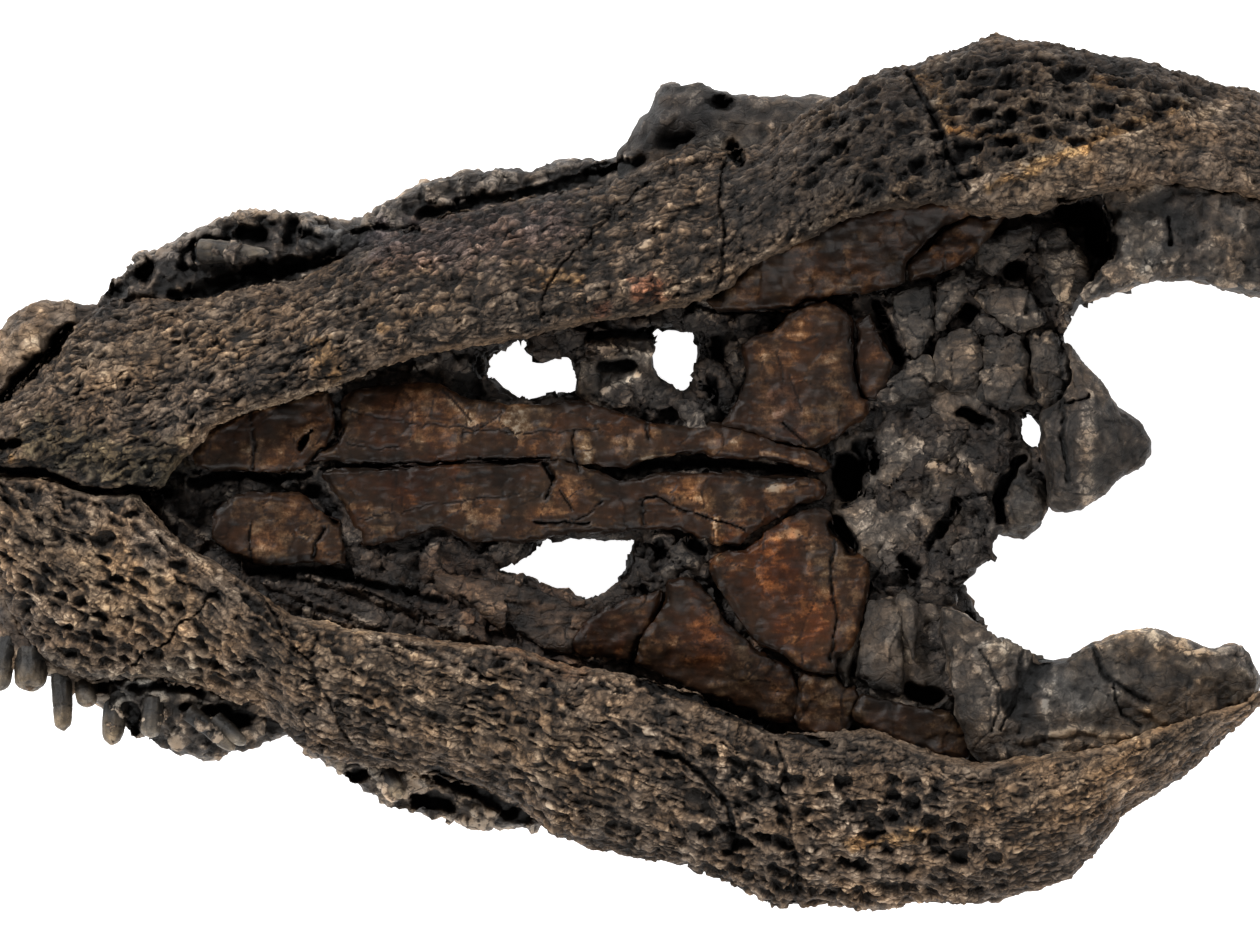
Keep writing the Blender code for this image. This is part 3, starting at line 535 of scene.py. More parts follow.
# A palette's first five colours follow a bone's level: pit is the black of painted shade in pits and cracks,
# middle the bone's own colour, accent and pale lighter and dark darker, reached through painted highlight on
# ridges, painted shade in hollows and the bone's own mottling
PALETTES = {
    "outer_bone": Palette(
        pit=(0.004, 0.0033, 0.0027), dark=(0.037, 0.0265, 0.019), middle=(0.115, 0.083, 0.059),
        accent=(0.2, 0.149, 0.106), pale=(0.4, 0.315, 0.23), hue=(1.12, 0.98, 0.82),
        roughness=0.6, gloss=0.25, bump=1.0, mottle=0.5, fleck=1.1, flake=2.4, split=0.45),
    "palate_bone": Palette(
        pit=(0.004, 0.003, 0.0025), dark=(0.0085, 0.005, 0.003), middle=(0.022, 0.0115, 0.006),
        accent=(0.078, 0.046, 0.024), pale=(0.22, 0.17, 0.12), hue=(1.3, 0.95, 0.7),
        roughness=0.45, gloss=0.18, bump=0.35, mottle=2.2, fleck=0.9, flake=9.0, split=0.12),
    "dark_bone": Palette(
        pit=(0.003, 0.0025, 0.002), dark=(0.0135, 0.011, 0.009), middle=(0.049, 0.0395, 0.032),
        accent=(0.11, 0.088, 0.069), pale=(0.35, 0.285, 0.22), hue=(1.12, 0.97, 0.82),
        roughness=0.55, gloss=0.3, bump=1.0, mottle=1.0, fleck=1.3, flake=4.0, split=0.35),
    "rock": Palette(
        pit=(0.0035, 0.003, 0.003), dark=(0.008, 0.0065, 0.0058), middle=(0.0225, 0.018, 0.015),
        accent=(0.058, 0.047, 0.0385), pale=(0.18, 0.15, 0.12), hue=(1.15, 0.96, 0.82),
        roughness=0.6, gloss=0.25, bump=0.9, mottle=1.1, fleck=1.0, flake=3.0, split=0.5),
    "tooth": Palette(
        pit=(0.006, 0.005, 0.004), dark=(0.03, 0.025, 0.02), middle=(0.085, 0.071, 0.056),
        accent=(0.16, 0.135, 0.105), pale=(0.3, 0.25, 0.19), hue=(1.15, 1.0, 0.8),
        roughness=0.5, gloss=0.35, bump=0.5, mottle=0.9, fleck=0.8, flake=2.0, split=0.3)}

# How far noise bends the edges of the flakes, how wide they are and how long, as shares of a flake
FLAKE_CROOK = 1.2
FLAKE_CROOK_SIZE = 0.8
FLAKE_EDGE = 0.09
FLAKE_STRETCH = (0.55, 1.0, 1.0)

# Size, detail and roughness of the noises, and how much the broad one mottles
BROAD = (16.0, 3.0, 0.6)
PATCHY = (3.5, 5.0, 0.65)
GRAINY = (0.6, 4.0, 0.75)
HUES = (9.0, 3.0, 0.6)
BROAD_SHARE = 0.5

# The levels at which a palette's first five colours stand, and where its hue begins and ends
LEVELS = (0.0, 0.2, 0.5, 0.74, 1.0)
HUE_LEVELS = (0.4, 0.62)
WHITE = (1.0, 1.0, 1.0)
BUMP_DISTANCE = 0.4


def node(tree, kind, **settings):
    made = tree.nodes.new(kind)
    for name, value in settings.items():
        setattr(made, name, value)
    return made


def math_node(tree, how, *values):
    """Arithmetic on sockets or numbers."""
    made = node(tree, "ShaderNodeMath", operation=how)
    for socket, value in zip(made.inputs, values):
        if isinstance(value, bpy.types.NodeSocket):
            tree.links.new(value, socket)
        else:
            socket.default_value = value
    return made.outputs[0]


def ramp_node(tree, value, positions, colours):
    """Colours that change from one to the next as a value passes their positions."""
    made = node(tree, "ShaderNodeValToRGB")
    stops = made.color_ramp.elements
    stops.remove(stops[1])
    for number, (position, colour) in enumerate(zip(positions, colours)):
        stop = stops[0] if number == 0 else stops.new(position)
        stop.position = position
        stop.color = (*colour, 1.0)
    tree.links.new(value, made.inputs["Fac"])
    return made.outputs["Color"]


def multiplied(tree, first, second):
    """The product of two colours."""
    made = node(tree, "ShaderNodeMix", data_type="RGBA", blend_type="MULTIPLY")
    made.inputs["Factor"].default_value = 1.0
    colours = [s for s in made.inputs if s.type == "RGBA"]
    tree.links.new(first, colours[0])
    tree.links.new(second, colours[1])
    return next(s for s in made.outputs if s.type == "RGBA")


def noise_node(tree, where, size, detail, roughness):
    """Noise with features of this size in millimetres, from 0 to 1."""
    made = node(tree, "ShaderNodeTexNoise")
    made.inputs["Scale"].default_value = 1.0 / (size * MM)
    made.inputs["Detail"].default_value = detail
    made.inputs["Roughness"].default_value = roughness
    tree.links.new(where, made.inputs["Vector"])
    return made.outputs["Fac"]


def flake_node(tree, where, size):
    """Long flakes with crooked edges: 0 on an edge, 1 a little away from it."""
    crook = node(tree, "ShaderNodeTexNoise")
    crook.inputs["Scale"].default_value = 1.0 / (FLAKE_CROOK_SIZE * size * MM)
    tree.links.new(where, crook.inputs["Vector"])
    shift = node(tree, "ShaderNodeVectorMath", operation="MULTIPLY_ADD")
    tree.links.new(crook.outputs["Color"], shift.inputs[0])
    shift.inputs[1].default_value = (FLAKE_CROOK * size * MM,) * 3
    tree.links.new(where, shift.inputs[2])
    stretch = node(tree, "ShaderNodeVectorMath", operation="MULTIPLY")
    tree.links.new(shift.outputs["Vector"], stretch.inputs[0])
    stretch.inputs[1].default_value = FLAKE_STRETCH
    cells = node(tree, "ShaderNodeTexVoronoi", feature="DISTANCE_TO_EDGE")
    cells.inputs["Scale"].default_value = 1.0 / (size * MM)
    tree.links.new(stretch.outputs["Vector"], cells.inputs["Vector"])
    line = math_node(tree, "DIVIDE", cells.outputs["Distance"], FLAKE_EDGE)
    return math_node(tree, "MINIMUM", line, 1.0)


def bone_colour(tree, where, palette, fine, flakes):
    """The palette's colours by the bone's level of painted highlight and shade, mottled, with patches of its
    hue and the bone's tint, which holds some painted shade and highlight too.
    """
    level = node(tree, "ShaderNodeAttribute", attribute_name="level").outputs["Fac"]
    tint = node(tree, "ShaderNodeAttribute", attribute_name="tint").outputs["Color"]
    even = 1 - (palette.mottle + palette.fleck + BROAD_SHARE) / 2
    mottled = math_node(tree, "MULTIPLY_ADD", noise_node(tree, where, *PATCHY), palette.mottle, even)
    mottled = math_node(tree, "MULTIPLY_ADD", fine, palette.fleck, mottled)
    mottled = math_node(tree, "MULTIPLY_ADD", noise_node(tree, where, *BROAD), BROAD_SHARE, mottled)
    edged = math_node(tree, "MULTIPLY_ADD", flakes, palette.split, 1 - palette.split)
    mottled = math_node(tree, "MULTIPLY", mottled, edged)
    tone = ramp_node(tree, math_node(tree, "MULTIPLY", level, mottled), LEVELS, palette[:len(LEVELS)])
    hues = ramp_node(tree, noise_node(tree, where, *HUES), HUE_LEVELS, (WHITE, palette.hue))
    return multiplied(tree, multiplied(tree, tone, hues), tint)


def bone_material(name, palette):
    """Mottled bone: black with painted shade in its pits, pale with painted highlight on its ridges, with
    fine grain in its bump.
    """
    made = bpy.data.materials.new(name)
    made.use_nodes = True
    tree = made.node_tree
    shader = tree.nodes["Principled BSDF"]
    where = node(tree, "ShaderNodeTexCoord").outputs["Object"]
    fine = noise_node(tree, where, *GRAINY)
    flakes = flake_node(tree, where, palette.flake)
    tree.links.new(bone_colour(tree, where, palette, fine, flakes), shader.inputs["Base Color"])
    shader.inputs["Roughness"].default_value = palette.roughness
    shader.inputs["Specular IOR Level"].default_value = palette.gloss
    bump = node(tree, "ShaderNodeBump")
    bump.inputs["Strength"].default_value = palette.bump
    bump.inputs["Distance"].default_value = BUMP_DISTANCE * MM
    tree.links.new(math_node(tree, "MULTIPLY_ADD", flakes, palette.split, fine), bump.inputs["Height"])
    tree.links.new(bump.outputs["Normal"], shader.inputs["Normal"])
    return made


MATERIALS = {name: bone_material(name, palette) for name, palette in PALETTES.items()}

# What each tint multiplies a surface's colour by; dark serves partly as painted shade and light partly as
# painted highlight
TINTS = {
    "ochre": (1.6, 1.3, 0.85), "tan": (1.3, 1.25, 1.15), "red": (1.5, 0.92, 0.75),
    "grey": (1.0, 1.12, 1.24), "light": (1.9, 1.95, 1.95), "purple": (1.0, 0.94, 1.1),
    "dark": (0.62, 0.63, 0.66), "olive": (0.75, 0.83, 0.75), "brown": (1.2, 0.95, 0.78),
    "gold": (1.8, 1.3, 0.9)}

# ---------------------------------------------------------------- what the drawing shows

HOLES = {
    "left_front": [
        (476, 365), (478, 355), (490, 347), (522, 336), (533, 335), (530, 348), (540, 358), (565, 352),
        (578, 356), (576, 370), (580, 395), (522, 402), (500, 390), (480, 377)],
    "left_rear": [
        (642, 333), (655, 326), (692, 328), (702, 345), (701, 370), (685, 393), (672, 396), (665, 375),
        (655, 371), (651, 360), (654, 345)],
    "right": [
        (483, 575), (503, 562), (530, 553), (545, 538), (600, 535), (638, 534), (640, 545), (632, 572),
        (612, 592), (603, 602), (585, 606), (550, 590), (525, 580), (495, 576)],
    "rear": [(1021, 418), (1030, 419), (1038, 430), (1044, 447), (1042, 450), (1034, 446), (1024, 432)]}

# The slit beside the braincase, and the pieces that it passes through
SLIT = [(1020, 416), (1031, 417), (1041, 430), (1047, 447), (1042, 453), (1032, 448), (1022, 433)]
SLIT_PIECES = ("fill_rock_rear", "bone_braincase")

# The middles of two small holes, and their half sizes in millimetres
OPEN_HOLES = [(1033, 433, 2.6, 3.8), (673, 358, 5.4, 7.2)]

# Cracks, gaps and hollows, sunk and darkened with painted shade, some of them bands of painted shadow:
# radius, depth and the line of each
CUTS = [
    # Breaks across the lower jaw
    (1.0, 5.0, [(0, 470), (55, 475), (75, 488), (110, 492), (125, 487), (165, 492)]),
    (0.4, 1.2, [(540, 320), (550, 285), (575, 252), (610, 215), (650, 182)]),
    (0.6, 1.6, [(725, 165), (718, 200), (725, 230), (722, 262), (715, 292)]),
    (0.4, 1.5, [(217, 590), (195, 615), (165, 642), (130, 665)]),
    (0.4, 1.4, [(262, 596), (270, 606), (278, 618), (284, 634), (300, 652), (312, 660), (318, 684),
                (332, 700), (338, 722), (350, 742)]),
    (0.9, 2.6, [(656, 750), (680, 756), (698, 770), (712, 786), (726, 800), (734, 822),
                (736, 842), (726, 852)]),
    (0.45, 1.5, [(776, 742), (784, 762), (780, 790), (790, 812), (788, 836), (798, 862), (794, 900)]),
    (0.8, 2.0, [(908, 75), (925, 105), (940, 135), (942, 150), (965, 190)]),
    # The snout's tip
    (2.2, 9.0, [(64, 330), (48, 352), (24, 374), (2, 394)]),
    (1.5, 5.0, [(2, 446), (18, 446)]),
    # The left tooth row
    (2.2, 8.0, [(110, 290)]),
    (2.7, 8.0, [(140, 270)]),
    (0.9, 3.0, [(196, 262), (192, 248), (202, 240), (225, 240)]),
    (2.4, 7.0, [(240, 232), (258, 236)]),
    (1.4, 5.0, [(240, 270), (262, 266)]),
    (1.8, 4.0, [(292, 222), (288, 238)]),
    # A band of painted shadow where the tooth row's rim meets the jaw
    (1.5, 4.0, [(172, 296), (214, 290), (250, 276), (300, 268), (330, 252)]),
    (2.2, 4.0, [(212, 284), (250, 271), (300, 262)]),
    (1.1, 3.0, [(184, 268), (182, 252), (190, 240)]),
    (1.4, 3.5, [(318, 238), (300, 232)]),
    (0.8, 2.5, [(352, 231), (380, 226), (418, 230)]),
    # A wedge of painted shadow along the tooth row
    (1.5, 4.0, [(420, 215), (480, 200), (540, 190), (600, 172), (640, 160)]),
    (1.7, 5.0, [(718, 103), (727, 103)]),
    (1.9, 5.0, [(664, 142), (686, 138)]),
    (1.9, 5.0, [(733, 145), (738, 160)]),
    # The right tooth row
    (1.9, 5.0, [(95, 688), (106, 688)]),
    (1.9, 6.0, [(130, 712), (130, 730)]),
    (2.4, 6.0, [(208, 712), (238, 722)]),
    (1.3, 4.0, [(185, 710)]),
    (1.5, 3.0, [(132, 690), (165, 685), (198, 692)]),
    (1.9, 5.0, [(350, 777), (361, 778)]),
    (1.8, 4.0, [(414, 800), (446, 808)]),
    (2.0, 4.0, [(436, 775), (470, 790), (512, 812)]),
    # The palate's front plates and its middle gap
    (1.3, 4.0, [(303, 443), (306, 438)]),
    (0.5, 2.0, [(300, 450), (311, 430)]),
    (0.4, 1.2, [(335, 415), (337, 440)]),
    (0.4, 1.2, [(345, 430), (325, 450), (305, 465)]),
    (0.25, 0.6, [(346, 442), (370, 447), (400, 448)]),
    (1.6, 4.0, [(190, 484), (215, 476), (240, 474)]),
    (1.0, 4.0, [(240, 474), (275, 480), (308, 474)]),
    (2.0, 4.0, [(310, 490), (328, 502), (334, 516)]),
    (0.35, 1.6, [(320, 468), (400, 464), (470, 461), (550, 458)]),
    (0.35, 1.0, [(250, 525), (250, 560)]),
    (0.35, 1.0, [(251, 412), (253, 440), (252, 468)]),
    (0.45, 1.4, [(324, 528), (317, 542), (312, 556)]),
    (0.25, 0.5, [(345, 410), (420, 425), (520, 432), (600, 430)]),
    (0.25, 0.5, [(360, 520), (430, 505), (520, 495)]),
    (0.25, 0.5, [(440, 388), (455, 402), (472, 422)]),
    (0.25, 0.5, [(512, 410), (484, 425), (462, 437)]),
    # Two bands of painted shadow
    (1.3, 3.0, [(250, 571), (290, 573), (330, 570)]),
    (1.5, 3.0, [(330, 574), (380, 588), (440, 602)]),
    # The narrow part of the palate
    (1.8, 4.0, [(605, 366), (630, 364)]),
    (1.4, 4.0, [(590, 336), (650, 332)]),
    (0.4, 1.2, [(575, 430), (572, 450), (578, 470)]),
    (0.9, 2.6, [(547, 466), (552, 478)]),
    (0.5, 1.6, [(552, 478), (546, 498)]),
    (0.35, 1.0, [(560, 490), (572, 510)]),
    (0.35, 1.0, [(600, 500), (590, 515), (570, 520)]),
    (0.4, 1.4, [(535, 522), (590, 523)]),
    (0.7, 1.0, [(643, 410), (648, 425), (650, 440)]),
    (0.4, 1.2, [(640, 500), (660, 497), (680, 510), (700, 515), (745, 530)]),
    (0.4, 1.0, [(643, 500), (645, 525)]),
    # A band of painted shadow along the middle gap
    (0.9, 3.0, [(625, 474), (640, 466), (700, 464), (760, 468), (800, 470)]),
    # The rear wings of the palate
    (0.3, 0.5, [(790, 375), (800, 410)]),
    (0.3, 0.4, [(778, 352), (784, 384)]),
    (0.4, 1.2, [(785, 425), (808, 445)]),
    (1.6, 5.0, [(718, 340), (718, 355)]),
    (1.8, 5.0, [(712, 380), (714, 396)]),
    (0.5, 1.8, [(700, 308), (740, 312), (790, 308), (830, 300), (852, 315)]),
    (1.4, 8.0, [(876, 305), (890, 332), (900, 360)]),
    (0.4, 1.2, [(834, 540), (830, 580), (836, 620), (830, 660)]),
    # A band of painted shadow between the right jaw and the palate
    (1.2, 4.0, [(640, 680), (700, 700), (760, 725), (825, 742)]),
    (1.6, 5.0, [(661, 545), (662, 556)]),
    (1.8, 5.0, [(690, 540), (700, 550)]),
    (2.2, 8.0, [(912, 692), (932, 696)]),
    (4.6, 16.0, [(847, 466), (850, 486)]),
    (3.0, 9.0, [(862, 447), (872, 462)]),
    (2.3, 8.0, [(838, 524), (852, 548)]),
    # The braincase and the jaw's hinge
    (2.8, 8.0, [(968, 312)]),
    (2.6, 8.0, [(1012, 272)]),
    (3.6, 12.0, [(1070, 212), (1096, 214), (1102, 245)]),
    (0.5, 2.0, [(1165, 220), (1166, 245)]),
    (0.7, 1.4, [(1062, 400), (1060, 440), (1066, 480)]),
    (0.5, 2.0, [(1065, 405), (1085, 395)]),
    # A gap beside the condyle, darkened with painted shadow
    (1.5, 8.0, [(1022, 460), (1008, 477), (998, 500), (1000, 518)]),
    (2.0, 7.0, [(905, 560), (915, 572)]),
    (3.4, 2.2, [(1046, 640), (1036, 668), (1012, 704)]),
    (0.8, 1.6, [(1085, 634), (1104, 676), (1148, 704)]),
    (0.5, 1.2, [(1110, 684), (1118, 712), (1140, 728)]),
    (0.5, 1.2, [(1020, 650), (1014, 700), (1000, 730)]),
    (0.4, 1.0, [(980, 650), (1000, 690), (990, 730)]),
    (1.6, 6.0, [(960, 410), (990, 425)]),
    (1.4, 5.0, [(930, 540), (948, 520), (955, 500)])]

# Worn ridges and lumps, lightened with painted highlight: radius, height and the line of each
RIDGES = [
    # The lower jaw's inner rims
    (1.3, 0.5, [(185, 445), (250, 410), (340, 385), (435, 360)]),
    (1.2, 0.5, [(660, 300), (700, 280), (745, 262), (790, 240)]),
    (0.8, 0.4, [(790, 240), (850, 214), (905, 200)]),
    (1.0, 0.4, [(115, 505), (160, 535), (200, 560), (240, 598)]),
    (1.0, 0.4, [(140, 500), (185, 525), (215, 545)]),
    (1.1, 0.4, [(300, 608), (380, 640), (460, 672), (560, 700)]),
    (2.6, 0.4, [(970, 186), (1040, 160), (1120, 134), (1222, 108)]),
    (0.8, 0.4, [(912, 72), (932, 104), (946, 136)]),
    # The snout and the left tooth row
    (0.7, 0.5, [(50, 325), (70, 322)]),
    (1.2, 0.4, [(97, 302), (112, 282), (138, 258), (160, 247), (215, 222), (258, 209), (300, 218)]),
    (0.7, 0.6, [(118, 299), (124, 288)]),
    (0.8, 0.6, [(147, 284), (156, 272)]),
    (2.0, 1.0, [(172, 248), (173, 258)]),
    (1.6, 0.8, [(360, 219), (386, 217)]),
    (0.8, 0.6, [(432, 205), (448, 200)]),
    (0.7, 0.6, [(461, 180), (460, 196)]),
    (0.7, 0.6, [(481, 176), (480, 192)]),
    (0.8, 0.5, [(535, 172), (590, 160), (636, 156)]),
    (1.0, 0.8, [(650, 130), (700, 100)]),
    # The right tooth row
    (0.8, 0.4, [(200, 757), (225, 758)]),
    (1.5, 1.2, [(410, 777), (475, 813)]),
    (1.2, 0.4, [(378, 822), (450, 825), (538, 830)]),
    (3.5, 1.0, [(560, 822), (592, 830)]),
    # The palate
    (2.6, 1.2, [(585, 445), (588, 462)]),
    (0.6, 0.4, [(640, 458), (690, 456)]),
    (0.6, 0.4, [(760, 452), (805, 462)]),
    (1.2, 0.8, [(716, 518), (718, 558)]),
    (2.2, 1.0, [(708, 310), (716, 320)]),
    (1.6, 0.5, [(775, 538), (795, 534)]),
    (1.2, 0.4, [(762, 488), (790, 486)]),
    (0.8, 0.5, [(602, 346), (650, 352)]),
    (0.8, 0.5, [(602, 392), (640, 374)]),
    (1.5, 1.8, [(300, 574), (360, 590), (430, 620), (520, 655), (580, 668)]),
    (1.2, 1.4, [(285, 590), (340, 612), (420, 645), (500, 672)]),
    # The rear
    (0.7, 0.6, [(1085, 295), (1110, 276)]),
    (0.8, 0.4, [(1056, 225), (1075, 224)]),
    (2.6, 0.7, [(1086, 402), (1082, 450), (1086, 498)]),
    (1.4, 1.0, [(962, 457), (978, 480), (988, 503)]),
    (2.8, 0.8, [(1062, 300), (1066, 320)]),
    (7.0, 1.8, [(1098, 634), (1150, 624), (1180, 636)]),
    (5.0, 1.6, [(1196, 664), (1226, 660)]),
    (4.0, 1.4, [(1000, 644), (980, 664)]),
    (1.4, 1.0, [(1020, 738), (1080, 728), (1130, 736)]),
    (1.0, 0.8, [(1110, 690), (1160, 720)])]

# Soft tints, some of the dark ones painted shade and some of the light ones painted highlight: radius and
# the line of each
WASHES = {
    "ochre": [
        (4.0, [(318, 345), (335, 368)]), (2.5, [(386, 330)]), (3.0, [(540, 280), (572, 280)]),
        (1.6, [(11, 460)]), (2.6, [(916, 76), (936, 92), (948, 130)]),
        (1.5, [(948, 132), (1000, 140), (1060, 142)]),
        (1.8, [(985, 192), (1040, 168), (1100, 138), (1180, 108)]), (2.6, [(1094, 84), (1108, 86)]),
        (1.6, [(1060, 65)]), (2.4, [(850, 842), (930, 830)])],
    "tan": [
        (6.0, [(1010, 196), (1100, 160), (1200, 130)]), (3.0, [(388, 272), (428, 272)]),
        (4.0, [(384, 320), (456, 308)]), (9.0, [(80, 380), (160, 350), (240, 340)]),
        (3.0, [(690, 88), (720, 86)]), (7.0, [(100, 560), (180, 600)]),
        (6.0, [(1150, 720), (1090, 800), (1000, 860)]), (5.0, [(665, 485), (705, 500)]),
        (14.0, [(30, 540), (120, 600), (200, 640)]), (12.0, [(300, 650), (480, 720), (600, 780)]),
        (12.0, [(1000, 800), (1120, 740), (1220, 700)]), (10.0, [(1120, 640), (1180, 650)])],
    # The bone's own darker tone, and painted shade beside the snout's teeth, on both sides of the quadrate
    # and beside the condyle
    "dark": [
        (9.0, [(110, 285), (160, 255), (240, 235), (370, 235), (480, 195), (600, 165)]),
        (12.0, [(650, 120), (700, 90), (780, 90)]), (5.0, [(2, 600), (22, 640)]),
        (8.0, [(1066, 380), (1060, 480)]), (6.0, [(1120, 420), (1140, 450)]),
        (4.0, [(0, 620), (30, 656), (60, 672)]), (5.0, [(960, 70), (1050, 55), (1200, 85)]),
        (6.0, [(560, 150), (700, 120)]), (16.0, [(760, 190), (860, 150), (900, 110)]),
        (7.0, [(1046, 650), (1020, 690)]), (9.0, [(100, 300), (160, 265), (230, 240), (340, 250)]),
        (7.0, [(640, 110), (720, 100)]), (6.0, [(1170, 200), (1180, 260)]),
        (8.0, [(1000, 440), (1000, 500)])],
    "red": [
        (4.0, [(640, 292), (655, 288)]), (3.0, [(600, 310)])],
    "brown": [
        (7.0, [(690, 625), (712, 652)]), (12.0, [(450, 585), (520, 620), (580, 635)]),
        (8.0, [(400, 400), (400, 425)]), (7.0, [(400, 480), (450, 475)])],
    # Light-coloured bone, and painted highlights on the right palatine
    "light": [
        (7.0, [(8, 345), (40, 345)]), (2.2, [(600, 350), (648, 358)]), (2.2, [(604, 390), (636, 378)]),
        (3.4, [(584, 444), (590, 464)]), (3.0, [(562, 476), (566, 506)]), (2.4, [(716, 520), (719, 556)]),
        (1.6, [(492, 503), (506, 503)]), (2.0, [(532, 506), (544, 509)]),
        (3.6, [(1062, 300), (1066, 322)]), (4.0, [(712, 312)]), (3.0, [(900, 605), (900, 660)]),
        (2.6, [(852, 630), (850, 680)]), (2.4, [(10, 672), (48, 674)]), (7.0, [(1190, 620), (1120, 608)]),
        (4.0, [(1236, 690), (1250, 676)])],
    "grey": [
        (6.0, [(45, 668), (110, 690), (190, 682)]), (7.0, [(1130, 225), (1135, 255)]),
        (6.0, [(310, 240), (360, 240)]), (9.0, [(1010, 640), (1090, 700)]),
        (5.0, [(1022, 490), (1022, 520)]), (3.4, [(345, 412), (350, 432)])],
    "purple": [
        (9.0, [(390, 250), (470, 238), (550, 225)]), (6.0, [(780, 398), (790, 428)])],
    "olive": [
        (8.0, [(40, 440), (110, 460), (175, 470)])],
    "gold": [
        (12.0, [(760, 560), (800, 630)])]}

# ---------------------------------------------------------------- plates and rock

